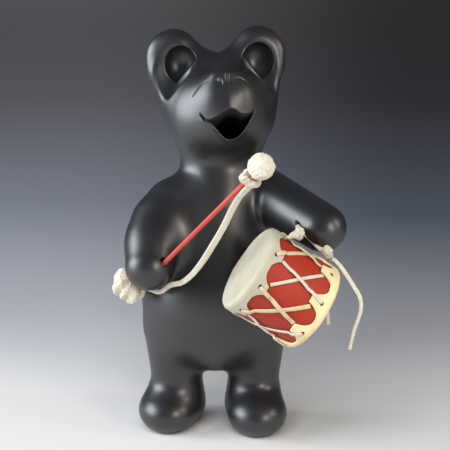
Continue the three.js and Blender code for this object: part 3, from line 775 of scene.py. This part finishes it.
def make_bear():
    trunk = join(LEG["soft"], torso(), only_where(lambda p: p[:, 2] < 125, join(1, *[leg(side) for side in SIDES])))
    left = only_where(lambda p: p[:, 0] > 5, arm(*LEFT_ARM))
    right = only_where(lambda p: p[:, 0] < 12, join(ELBOW_SOFT, arm(*RIGHT_ARM), rod(*RIGHT_BREAST)))
    body = join(SHOULDER_SOFT["right"], join(SHOULDER_SOFT["left"], trunk, left), right)
    body = only_where(lambda p: p[:, 2] < 262, body)
    whole = join(NECK_SOFT, body, only_where(lambda p: p[:, 2] > 185, head()))

    lips = Outline(smooth_route([(x, 0, z) for x, z in MOUTH_OUTLINE], 6, closed=True)[:, [0, 2]])

    def lip_and_mouth(p):
        """The height of the lip's rim, and the distance to the mouth."""
        q = to_head(p)
        edge = lips(q[:, [0, 2]])
        top, bottom = LIP["fades"]
        low = np.clip((top - q[:, 2]) / (top - bottom), 0, 1) * (q[:, 1] < -20)
        rim = LIP["height"] * low * np.exp(-(((edge - LIP["from_edge"]) / LIP["width"]) ** 2))
        return rim, np.maximum(edge, q[:, 1] - MOUTH_BACK)

    bowls = [ear_hollow(side, EAR_BOWL) for side in SIDES]
    eyes = [groove(whole, route, 0.75) for route in EYES]
    folds = [groove(whole, route, 0.75, steps=2) for route in NOSE_FOLDS]
    bore = rod(along_stick(12), along_stick(-STICK["rear"]), PAW_HOLE["radius"], PAW_HOLE["radius"])
    aside = np.array(PAW_HOLE["mouth_shift"])
    wide = rod(along_stick(12) + aside, along_stick(-6) + aside, PAW_HOLE["mouth_radius"], PAW_HOLE["radius"])
    paw_hole = join(0.5, bore, wide)
    start, end = np.array(ARM_HOLE["start"]), np.array(ARM_HOLE["end"])
    way = unit(end - start) * 8
    arm_hole = rod(start - way, end + way, ARM_HOLE["radius"], ARM_HOLE["radius"])

    def fine_head(p):
        rim, mouth = lip_and_mouth(p)
        d = whole(p) - rim
        d = -soft_min(-d, np.minimum(*[b(p) for b in bowls]), EAR_BOWL["soft"])
        d = -soft_min(-d, mouth, 1.2)
        d = -soft_min(-d, np.minimum(*[e(p) for e in eyes]), 0.5)
        return -soft_min(-d, np.minimum.reduce([f(p) for f in folds]), 1.1)

    def form(p):
        d = np.empty(len(p))
        high = p[:, 2] > 190
        d[high] = fine_head(p[high])
        d[~high] = whole(p[~high])
        d = -soft_min(-d, np.minimum(paw_hole(p), arm_hole(p)), 0.8)
        return np.maximum(d, -p[:, 2])

    def wanted(p):
        size = np.where((p[:, 2] > 205) & (p[:, 1] < 25), 1.7, 2.6)
        crisp = np.minimum.reduce([np.abs(t(p)) for t in (*bowls, *eyes, *folds, paw_hole, arm_hole)])
        crisp = np.minimum(crisp, np.abs(lip_and_mouth(p)[1]))
        close = (crisp < 2.2) & (np.abs(form(p)) < 2)
        return np.where(close, 0.55, size)

    points, triangles = wrap(form, (-72, -84, -6), (102, 54, 306), 2.2)
    points = settle(form, points, 1.0)
    for last in (False, False, True):
        points, triangles = refine(points, triangles, wanted)
        points = settle(form, points, 0.5, rounds=4 if last else 3, fresh=last)
    normals = unit(slopes(form, points))
    # in_mouth marks the deep inside of the mouth. The clay material paints it almost black as shade and makes it
    # rougher.
    in_mouth = np.clip(-whole(points) - 0.4, 0, 1) * (lip_and_mouth(points)[1] < 1) * (points[:, 2] > 200)
    return piece(
        "bear_body", points, triangles, CLAY, ["bear"], {"in_mouth": in_mouth}, normals=normals
    )


# The drum's own frame: +Z runs from its back to its front, and +X faces the viewer.
DRUM_AXIS = unit(np.array(DRUM["front"], float) - DRUM["back"])
DRUM_LENGTH = float(np.linalg.norm(np.array(DRUM["front"], float) - DRUM["back"]))
DRUM_FACING = unit(np.array([0, -1, 0]) - DRUM_AXIS * -DRUM_AXIS[1])
DRUM_UP = np.cross(DRUM_AXIS, DRUM_FACING)
SKIN_RADIUS = DRUM["radius"] + GAP + SKIN


def on_drum(points):
    return np.asarray(points) @ np.array([DRUM_FACING, DRUM_UP, DRUM_AXIS]) + DRUM["back"]


def turned(outline, segments, closed=False):
    """Turns an outline about +Z. outline(angles) gives an array of [angle, step, (radius, height)];
    when closed, the last step joins the first, and otherwise both ends lie on the axis."""
    angles = np.arange(segments) / segments * 2 * math.pi
    rings = outline(angles)
    x, y = rings[..., 0] * np.cos(angles)[:, None], rings[..., 0] * np.sin(angles)[:, None]
    points = np.stack([x, y, rings[..., 1]], -1)
    steps = points.shape[1]
    first, last = (0, steps) if closed else (1, steps - 1)
    inner = last - first
    body = points[:, first:last].reshape(-1, 3)
    faces = []
    index = np.arange(segments * inner).reshape(segments, inner)
    beside = np.roll(index, -1, 0)
    ahead = np.roll(index, -1, 1), np.roll(beside, -1, 1)
    upto = inner if closed else inner - 1
    quads = np.stack([index, beside, ahead[1], ahead[0]], -1)[:, :upto]
    faces += quads.reshape(-1, 4).tolist()
    if not closed:
        poles = [points[:, 0].mean(0), points[:, -1].mean(0)]
        tip = len(body)
        faces += [[tip, b, a] for a, b in zip(index[:, 0], beside[:, 0])]
        faces += [[tip + 1, a, b] for a, b in zip(index[:, -1], beside[:, -1])]
        body = np.vstack([body, poles])
    return body, faces


def make_drum_shell():
    inner, outer, length = DRUM["radius"] - DRUM["wall"], DRUM["radius"], DRUM_LENGTH
    edge = 0.5
    profile = [(inner, edge), (inner + edge, 0), (outer - edge, 0), (outer, edge)]
    profile += [(outer, h) for h in np.linspace(edge + 0.5, length - edge - 0.5, 28)]
    profile += [(outer, length - edge), (outer - edge, length), (inner + edge, length), (inner, length - edge)]
    profile += [(inner, h) for h in np.linspace(length - edge - 2, edge + 2, 12)]

    def outline(angles):
        return np.repeat(np.array(profile)[None], len(angles), 0)

    points, faces = turned(outline, 160, closed=True)
    radius = np.hypot(points[:, 0], points[:, 1])
    dent = 0.12 * noise(points, 9, 5) * (radius > outer - 0.1)
    points[:, :2] *= ((radius + dent) / radius)[:, None]
    return piece("drum_shell_painted", on_drum(points), faces, PAINT, ["drum_shell"])


def tab_angles(values):
    return np.radians(values["first_tab"] - 360 / TABS * np.arange(TABS))


def hole_depths(values, side, angles):
    """How far the punched holes lie from a hide's own end of the drum."""
    return values["hole"] - side * values["skew"] * np.sin(angles)


def skirt_edge(values, side, angles):
    """How far a hide's skirt reaches from its end: blunt tabs with round gaps between them."""
    turn = (angles - math.radians(values["first_tab"])) * TABS
    from_tab = np.abs((turn + math.pi) % (2 * math.pi) - math.pi) / math.pi
    in_gap = np.clip((1 - from_tab) / (1 - TAB_TIP), 0, 1)
    reach = 1 - (1 - in_gap**2.4) ** 0.7
    ragged = noise(np.stack([np.cos(angles) * 9, np.sin(angles) * 9, angles * 0], -1), 1.1, values["seed"])
    depth = values["gap"] + (values["tip"] - values["gap"]) * reach + 0.3 * ragged
    return depth - side * values["skew"] * np.sin(angles)


def make_hide(side, values, look, name, replaces):
    """A hide over one end of the drum, with a scalloped skirt. Heights are measured outwards from that end."""
    inner, outer, top = DRUM["radius"] + GAP, SKIN_RADIUS, GAP + SKIN
    round_over = 4.2
    seed = values["seed"]

    def outline(angles):
        edge = skirt_edge(values, side, angles)
        rows = []
        for r in np.linspace(0, inner - 0.4, 22):
            rows.append((np.full_like(angles, r), np.full_like(angles, GAP)))
        for t in np.linspace(0, 1, 30):
            rows.append((np.full_like(angles, inner), GAP - 0.2 - (edge + GAP - 0.2) * t))
        for turn in np.linspace(0.25, 0.75, 4):
            a = math.pi * turn
            rows.append((inner + (1 - math.cos(a)) * SKIN / 2, -edge - 0.35 * math.sin(a)))
        for t in np.linspace(1, 0, 34):
            rows.append((np.full_like(angles, outer), -edge * t - (round_over - top) * (1 - t)))
        for turn in np.linspace(0.06, 1, 14):
            a = math.pi / 2 * turn
            rows.append((outer - round_over * (1 - math.cos(a)), top - round_over * (1 - math.sin(a))))
        for r in np.linspace(outer - round_over - 0.4, 0, 30):
            rows.append((np.full_like(angles, r), np.full_like(angles, top)))
        rows = [np.broadcast_arrays(angles, *row)[1:] for row in rows]
        return np.array(rows).transpose(2, 0, 1)

    points, faces = turned(outline, 560)
    radius = np.hypot(points[:, 0], points[:, 1])
    angle = np.arctan2(points[:, 1], points[:, 0])
    skirt = (radius > outer - 0.4) & (points[:, 2] < 0.5)
    face_side = (points[:, 2] > top - 1.2) & ~skirt & (radius < outer - 1)
    depth = np.clip(-points[:, 2] / values["tip"], 0, 1)
    on_tab = np.cos((angle - math.radians(values["first_tab"])) * TABS) * 0.5 + 0.5
    flare = 0.45 * depth**2 * on_tab + 0.2 * noise(points, 6, seed) * depth
    skin = 0.12 * noise(points, 3.2, seed + 1) + 0.3 * noise(points, 14, seed + 2)
    lift = np.where(skirt, flare + skin * 0.5, 0)
    points[:, 2] += np.where(face_side, skin * 0.8, 0)
    points[:, :2] *= (1 + lift / np.maximum(radius, 1))[:, None]
    height = points[:, 2].copy()
    # The holes are shallow dents, which the hide material paints dark as the shadowed shell seen through them.
    hole = np.zeros(len(points))
    for a, d in zip(tab_angles(values), hole_depths(values, side, tab_angles(values))):
        turn = (angle - a + math.pi) % (2 * math.pi) - math.pi
        away = np.hypot(turn * outer * 0.8, height + d)
        hole = np.maximum(hole, np.clip((1.5 - away) / 0.6, 0, 1))
    hole *= skirt
    sunk = 1 - 0.9 * hole / np.maximum(radius, 1)
    points[:, :2] *= sunk[:, None]
    points[:, 2] = (DRUM_LENGTH if side > 0 else 0) + side * height
    if side < 0:
        faces = [f[::-1] for f in faces]
    return piece(name, on_drum(points), faces, look, replaces, {"hole": hole})


def make_lacing():
    """Flat strips that cross the shell. Two start at each hole in the front hide: one goes up two tabs
    on the back hide, and one goes to the tab across and lies over the first kind. Some ends lie over a
    hide and some come from under its edge."""
    front, rear = tab_angles(BATTER), tab_angles(DRUM_BACK)
    low, high = DRUM["radius"] + GAP + 0.1, SKIN_RADIUS + 2 * GAP
    points, faces, tones = [], [], []
    steps = 90
    section = [(-0.8, 0), (-1, 0.12), (-1.04, 0.7), (-0.8, 1), (0, 1.06), (0.8, 1), (1.04, 0.7), (1, 0.12), (0.8, 0)]
    section.append((0, -0.02))
    for tab in range(TABS):
        for level in (False, True):
            end = rear[tab if level else tab - 2]
            start = front[tab]
            sweep = (end - start + math.pi) % (2 * math.pi) - math.pi
            over = (level != (tab % 2 == 0), tab % 2 == 0 if level else tab % 4 == 3)
            depth = hole_depths(BATTER, 1, start)
            height_from, height_to = DRUM_LENGTH - depth, hole_depths(DRUM_BACK, -1, end)
            t = np.linspace(0, 1, steps)
            angle, height = start + sweep * t, height_from + (height_to - height_from) * t
            slant = math.atan2(sweep * SKIN_RADIUS, height_to - height_from)
            width = LACE["widths"][level == (tab % 2 == 0)]
            reach = width / 2 / SKIN_RADIUS
            past = np.full(steps, 1e3)
            for spread in (-reach, 0, reach):
                before = DRUM_LENGTH - height - skirt_edge(BATTER, 1, angle + spread)
                after = height - skirt_edge(DRUM_BACK, -1, angle + spread)
                for clear, lies_over in ((before, over[0]), (after, over[1])):
                    past = np.minimum(past, np.where(lies_over, 1e3, clear - 0.45))
            ends = np.zeros(steps)
            for lies_over, values, side, from_end in ((over[0], BATTER, 1, DRUM_LENGTH - height),
                                                      (over[1], DRUM_BACK, -1, height)):
                clear = from_end - skirt_edge(values, side, angle) - 0.5 - width * 0.35
                rise = np.clip(1 - clear / 6, 0, 1)
                ends = np.maximum(ends, lies_over * rise * rise * (3 - 2 * rise))
            kept = past > 0
            t, angle, height, ends = t[kept], angle[kept], height[kept], ends[kept]
            middle = np.clip((0.24 - np.abs(t - 0.5)) / 0.14, 0, 1)
            lifted = level * (LACE["thickness"] + LACE["cross"]) * middle * middle * (3 - 2 * middle)
            dive = np.minimum(1, np.where(t < 0.5, t * 26 if over[0] else 1, (1 - t) * 26 if over[1] else 1))
            radius = np.maximum(low + (high - low) * ends, low + lifted) - 1.3 * (1 - dive) ** 2
            wide = width * (0.72 + 0.28 * dive)
            wide = wide * (1 + 0.10 * noise(np.stack([t * 30, angle, height], -1), 4, 40 + tab + 10 * level))
            rows = []
            for s, o in section:
                z = height - s * wide / 2 * math.sin(slant)
                a = angle + s * wide / 2 * math.cos(slant) / SKIN_RADIUS
                r = radius + o * LACE["thickness"]
                rows.append(np.stack([r * np.cos(a), r * np.sin(a), z], -1))
            n = len(section)
            index = sum(len(p) for p in points) + np.arange(len(t) * n).reshape(len(t), n)
            points.append(np.stack(rows, 1).reshape(-1, 3))
            tones.append(np.full(len(t) * n, float(level != (tab % 2 == 0))))
            beside = np.roll(index, -1, 1)
            faces += np.stack([index[:-1], beside[:-1], beside[1:], index[1:]], -1).reshape(-1, 4).tolist()
            faces += [index[0][::-1].tolist(), index[-1].tolist()]
    return piece(
        "drum_lace_strips", on_drum(np.vstack(points)), faces, LACE_HIDE, ["drum_lacing"],
        {"tone": np.concatenate(tones)},
    )


STICK_WAY = unit(np.array(STICK["ball"], float) - STICK["entry"])
STICK_SIDE = unit(np.cross(STICK_WAY, (0, 0, 1)))
STICK_FRAME = np.array([STICK_SIDE, np.cross(STICK_WAY, STICK_SIDE), STICK_WAY])


def on_stick(points, at):
    return np.asarray(points) @ STICK_FRAME + at


def make_drumstick():
    start, end = along_stick(-STICK["rear"]), np.array(STICK["ball"]) + STICK["into_ball"] * STICK_WAY
    length = np.linalg.norm(end - start)
    heights = np.linspace(0, length, 70)
    r = STICK["radius"]

    def outline(angles):
        profile = [(0, 0), (r - 0.4, 0), (r - 0.1, 0.15), (r, 0.4)]
        profile += [(r, h) for h in heights[1:-1]]
        profile += [(r, length - 0.4), (r - 0.1, length - 0.15), (r - 0.4, length), (0, length)]
        return np.repeat(np.array(profile)[None], len(angles), 0)

    points, faces = turned(outline, 28)
    wobble = 1 + 0.02 * noise(points, 7, 11)
    points[:, :2] *= wobble[:, None]
    return piece("drumstick_dowel", on_stick(points, start), faces, DOWEL, ["drumstick"])


def pushed_out(points, faces, amounts):
    """Points moved along the mesh's own normals."""
    mesh = bpy.data.meshes.new("scratch")
    mesh.from_pydata(points.tolist(), [], [list(map(int, f)) for f in faces])
    normals = np.zeros(len(points) * 3)
    mesh.vertex_normals.foreach_get("vector", normals)
    bpy.data.meshes.remove(mesh)
    return points + normals.reshape(-1, 3) * np.asarray(amounts)[:, None]


def make_beater_head():
    """The padded ball with its collar, gathered under the binding."""
    radius, waist, collar, long = BALL["radius"], BALL["waist"], BALL["collar"], BALL["collar_length"]
    bore = STICK["radius"] + GAP
    low = math.asin(waist / radius)

    def outline(angles):
        lobes = 1 + 0.20 * np.cos(3 * angles + 0.4) + 0.07 * np.cos(5 * angles + 1.3)
        ones = np.ones_like(angles)
        rows = [(0 * ones, 3 * ones), (bore * ones, 3 * ones)]
        rows += [(bore * ones, h * ones) for h in np.linspace(1, 0.6 - long, 12)]
        bulge = (long - 9.4) / 2
        for turn in np.linspace(0.06, 0.94, 26):
            out = math.sin(math.pi * turn) ** 0.7
            swell = waist - 0.4 + (collar * lobes - waist + 0.4) * out
            rows.append((swell, (-long + bulge * (1 - math.cos(math.pi * turn))) * ones))
        for h in (-9.2, -8.8, -8.4):
            rows.append((waist * ones, h * ones))
        for t in np.linspace(0, 1, 44):
            turn = low + (math.pi - low) * t
            rows.append((radius * math.sin(turn) * ones * (t < 1), -radius * math.cos(turn) * ones))
        return np.array(rows).transpose(2, 0, 1)

    points, faces = turned(outline, 220)
    away = np.hypot(points[:, 0], points[:, 1])
    angle = np.arctan2(points[:, 1], points[:, 0])
    outside = away > bore + 0.4
    gather = np.exp(-(((points[:, 2] + TIE_AT) / 3.6) ** 2))
    fold = 0.6 * gather * np.cos(9 * angle + 2 * np.sin(2 * angle))
    lumps = 0.35 * noise(points, 4.5, 21) + 0.30 * noise(points, 1.5, 22) + 0.22 * noise(points, 0.6, 23)
    lumps = np.where(np.abs(points[:, 2] + TIE_AT) < 1.2, lumps * 0.3 - 0.1, lumps)
    points = pushed_out(points, faces, np.where(outside, fold * 0.6 + lumps, 0))
    # Painted shade in the troughs of the collar's gathers, carried by the fold mark.
    shade = np.clip(gather * (0.5 - 0.5 * np.cos(9 * angle + 2 * np.sin(2 * angle))), 0, 1) * outside
    made = piece(
        "beater_ball", on_stick(points, STICK["ball"]), faces, SOFT_HIDE, ["beater_head"],
        {"fold": shade * 0.7},
    )
    return made


TIE_AT = 8.9


def tube(line, radius, sides=10, closed=False, squash=None):
    """A round tube along a line of points; squash, meant to give its width and thickness instead of a radius, is not
    used.
    """
    line = np.asarray(line, float)
    ahead = np.roll(line, -1, 0) - line if closed else np.gradient(line, axis=0)
    way = unit(ahead)
    normal = unit(np.cross(way[0], (0.3, 0.5, 0.8)))
    rings = []
    for at, forward in zip(line, way):
        normal = unit(normal - forward * (normal @ forward))
        other = np.cross(forward, normal)
        turn = np.arange(sides) / sides * 2 * math.pi
        rings.append(at + radius * (np.cos(turn)[:, None] * normal + np.sin(turn)[:, None] * other))
    points = np.vstack(rings)
    index = np.arange(len(points)).reshape(len(line), sides)
    beside = np.roll(index, -1, 1)
    faces = np.stack([index[:-1], beside[:-1], beside[1:], index[1:]], -1).reshape(-1, 4).tolist()
    faces += [index[0][::-1].tolist(), index[-1].tolist()]
    return points, faces


def make_beater_tie():
    """Sinew wound round the waist."""
    turns = 2.4
    t = np.linspace(0, 1, 150)
    angle = t * turns * 2 * math.pi
    radius = BALL["waist"] + 0.85 + 0.2 * np.sin(t * 9)
    line = np.stack([radius * np.cos(angle), radius * np.sin(angle), -TIE_AT - 0.5 + t], -1)
    points, faces = tube(line, 0.38, 8)
    return piece("beater_binding", on_stick(points, STICK["ball"]), faces, SINEW, ["beater_tie"])


def make_tuft():
    """The gathered hide on the stick's rear end, behind the paw."""
    radius, thick = TUFT["radius"], TUFT["thickness"]
    bore = STICK["radius"] + GAP

    def outline(angles):
        lobes = 1 + 0.10 * np.cos(5 * angles) + 0.06 * np.cos(9 * angles + 1)
        ones = np.ones_like(angles)
        rows = [(0 * ones, -thick * ones)]
        for t in np.linspace(0.04, 0.96, 60):
            turn = math.pi * t
            swell = 1 + 0.10 * math.sin(turn) * (lobes - 1) * 8
            rows.append((radius * math.sin(turn) ** 0.85 * swell, -thick * math.cos(turn) * ones))
        rows.append((0 * ones, thick * ones))
        return np.array(rows).transpose(2, 0, 1)

    points, faces = turned(outline, 220)
    angle = np.arctan2(points[:, 1], points[:, 0])
    away = np.hypot(points[:, 0], points[:, 1])
    pleat = np.cos(9 * angle + 3 * np.sin(angle + points[:, 2] * 0.12))
    lumps = 1.1 * noise(points, 5, 31) + 0.6 * noise(points, 2, 32) + 0.35 * noise(points, 0.8, 33)
    rim = np.clip(away / radius, 0, 1)
    points = pushed_out(points, faces, lumps * rim + 0.55 * pleat * rim)
    # Painted shade in the troughs of the pleats, carried by the fold mark.
    shade = np.clip(0.5 - 0.6 * pleat, 0, 1) * rim
    return piece(
        "beater_gathers", on_stick(points, TUFT["at"]), faces, SOFT_HIDE, ["beater_tuft"],
        {"fold": shade * 0.25},
    )


def flat_strip(line, width, thickness, facing, seed, rough=0.1):
    """A flat strip along a line; facing gives which way its broad side looks at each point."""
    line = np.asarray(line, float)
    way = unit(np.gradient(line, axis=0))
    facing = unit(np.asarray(facing, float) - way * (np.asarray(facing) * way).sum(1)[:, None])
    side = np.cross(way, facing)
    corners = [(-1, -0.5), (-1.03, 0), (-0.97, 0.42), (-0.6, 0.5), (0, 0.52), (0.6, 0.5), (0.97, 0.42)]
    corners += [(1.03, 0), (1, -0.5), (0.6, -0.5), (0, -0.5), (-0.6, -0.5)]
    width = np.broadcast_to(width, len(line))
    rings = [
        line + side * (s * width / 2)[:, None] + facing * (o * thickness) for s, o in corners
    ]
    points = np.stack(rings, 1).reshape(-1, 3)
    n = len(corners)
    index = np.arange(len(points)).reshape(len(line), n)
    beside = np.roll(index, -1, 1)
    faces = np.stack([index[:-1], beside[:-1], beside[1:], index[1:]], -1).reshape(-1, 4).tolist()
    faces += [index[0][::-1].tolist(), index[-1].tolist()]
    shift = rough * noise(points, 1.5, seed)[:, None] * np.repeat(side, n, 0)
    return points + shift, faces


def turned_facing(count, start, end):
    """Directions that turn evenly from start to end."""
    t = np.linspace(0, 1, count)[:, None]
    return unit(np.array(start) * (1 - t) + np.array(end) * t)


def make_strip(name, route, width, thickness, facing, look, replaces, seed):
    line = smooth_route(route, 24)
    width = np.interp(np.linspace(0, 1, len(line)), np.linspace(0, 1, len(width)), width)
    points, faces = flat_strip(line, width, thickness, turned_facing(len(line), *facing), seed)
    made = piece(name, points, faces, look, replaces, {"fold": np.zeros(len(points))})
    return made, in_metres(line)


def declare_cord(made, line):
    length = float(np.linalg.norm(np.diff(line, axis=0), axis=1).sum())
    tuple(line[0])


def make_cords():
    thong, line = make_strip(
        "beater_strip", THONG, (4.2, 4.4, 4.3, 3.8, 3.4, 3.2), 1.4, ((0.45, -0.85, 0.2), (0, -0.8, 0.6)),
        SOFT_HIDE, ["beater_thong"], 51,
    )
    declare_cord(thong, line)
    tail, line = make_strip(
        "drum_strip_long", TAIL, (2.6, 2.9, 2.9, 2.6, 2.2), 1.2, ((0.2, -0.9, 0.4), (0.5, -0.85, 0)),
        SOFT_HIDE, ["drum_tie_tail"], 52,
    )
    declare_cord(tail, line)
    short, line = make_strip(
        "drum_strip_short", SHORT_TAIL, (2.6, 2.8, 2.4), 1.2, ((0.6, -0.2, 0.7), (0.3, -0.95, 0)),
        SOFT_HIDE, ["drum_tie_short_tail"], 53,
    )
    declare_cord(short, line)


def make_drum_tie():
    """The lace through the forearm, with its knots and the two wrinkled ends."""
    def wrinkled(form):
        return lambda p: form(p) + 0.5 * noise(p, 2.4, 61) + 0.25 * noise(p, 1.1, 62)

    def knot(at, radii, tilt):
        return wrinkled(ellipsoid(at, radii, spin("Y", tilt)))

    start, end = ARM_HOLE["start"], ARM_HOLE["end"]
    lace = 1.5
    form = join(
        1.2,
        knot(FRONT_KNOT, (2.9, 3.0, 4.8), 8),
        wrinkled(rod(FRONT_KNOT, FRONT_FLAP, 3.5, 0.9)),
        rod(FRONT_KNOT, start, lace, lace),
        rod(start, end, lace, lace),
        rod(end, REAR_KNOT, lace, lace),
        knot(REAR_KNOT, (3.6, 3.4, 4.7), -20),
    )
    points, triangles = wrap(form, (44, -92, 140), (86, -48, 176), 0.6)
    points = settle(form, points, 0.3)
    # Painted shade, carried by the fold mark, in a blotchy pattern that follows the knots' wrinkles.
    fold = np.clip(0.5 - 1.2 * noise(points, 2.4, 61), 0, 1) * 0.4
    return piece(
        "drum_tie_knots", points, triangles, SOFT_HIDE, ["drum_tie"], {"fold": fold}
    )


make_cords()
make_bear()
make_drum_shell()
make_hide(1, BATTER, WHITE_HIDE, "drum_front_hide", ["drum_batter_head"])
make_hide(-1, DRUM_BACK, CREAM_HIDE, "drum_back_hide", ["drum_back_head"])
make_lacing()
make_drumstick()
make_beater_head()
make_beater_tie()
make_tuft()
make_drum_tie()


# The floor, the lights and the room


# The floor's colours run over the logarithm of the depth past a line before the figure. They are painted light and
# shade: pale near the figure and on its left, where the light falls, and darker away from it and to the right.
FLOOR_AHEAD = 0.311
FLOOR_DEPTHS = (-0.6, 0.9)
FLOOR_LEFT = (
    (0.15, (0.67, 0.66, 0.65)),
    (0.27, (0.41, 0.42, 0.45)),
    (0.45, (0.28, 0.3, 0.35)),
    (0.65, (0.38, 0.37, 0.41)),
    (0.96, (0.84, 0.79, 0.79)),
)
FLOOR_RIGHT = (
    (0.12, (0.62, 0.62, 0.61)),
    (0.23, (0.33, 0.33, 0.35)),
    (0.42, (0.11, 0.13, 0.16)),
    (0.65, (0.11, 0.1, 0.12)),
    (0.96, (0.24, 0.21, 0.2)),
)


def stage_floor(start, put):
    """Painted light and shade: pale before the figure and to its left, and darker away from it."""
    x, y = [start.node("ShaderNodeSeparateXYZ", outlet=i, Vector=start.place()) for i in (0, 1)]
    ahead = (y + FLOOR_AHEAD).maths("MAXIMUM", y + FLOOR_AHEAD, 0.02)
    depth = ahead.maths("LOGARITHM", ahead, 10.0)
    shade = (depth - FLOOR_DEPTHS[0]) / (FLOOR_DEPTHS[1] - FLOOR_DEPTHS[0])
    # The left side is lighter than the right: painted light from the window on the left.
    aside = (x + 0.0024) / (y + 0.838).maths("MAXIMUM", y + 0.838, 0.3)
    left, right = [start.node("ShaderNodeValToRGB", {"stops": stops}, Fac=shade) for stops in (FLOOR_LEFT, FLOOR_RIGHT)]
    put(Base_Color=aside.between(-0.13, 0.16).mix(left, right), Roughness=0.8, Specular_IOR_Level=0.1)


def make_stage():
    mesh = bpy.data.meshes.new("floor")
    wide = 40
    mesh.from_pydata([(-wide, -wide, 0), (wide, -wide, 0), (wide, wide, 0), (-wide, wide, 0)], [], [(0, 1, 2, 3)])
    mesh.materials.append(material("floor", stage_floor))
    floor = bpy.data.objects.new("floor", mesh)
    bpy.context.scene.collection.objects.link(floor)

    world = bpy.data.worlds.new("room")
    world.use_nodes = True
    world.node_tree.nodes["Background"].inputs["Color"].default_value = (0.092, 0.093, 0.101, 1)
    world.node_tree.nodes["Background"].inputs["Strength"].default_value = 1.0
    bpy.context.scene.world = world


def softbox(name, at, size, power, colour, mirrored=True):
    """A square light that faces the figure's chest. One that isn't mirrored leaves no highlight."""
    data = bpy.data.lights.new(name, "AREA")
    data.shape = "RECTANGLE"
    data.size, data.size_y = size
    data.energy = power
    data.color = colour
    light = bpy.data.objects.new(name, data)
    light.location = at
    light.visible_glossy = mirrored
    light.rotation_euler = (Vector((0, 0, 0.17)) - Vector(at)).to_track_quat("-Z", "Y").to_euler()
    bpy.context.scene.collection.objects.link(light)


make_stage()
softbox("window", (-1.25, -0.15, 0.50), (0.95, 0.8), 23, (0.88, 0.94, 1.0))
softbox("lamp", (0.95, -1.1, 0.52), (0.34, 0.6), 9, (1.0, 0.93, 0.85))
softbox("side_lamp", (1.10, -0.26, 0.54), (0.22, 0.5), 3, (1.0, 0.94, 0.87))
softbox("front", (-0.3, -1.25, 1.4), (1.5, 1.3), 34, (0.97, 0.98, 1.0), mirrored=False)

bpy.context.scene.view_settings.view_transform = "Standard"
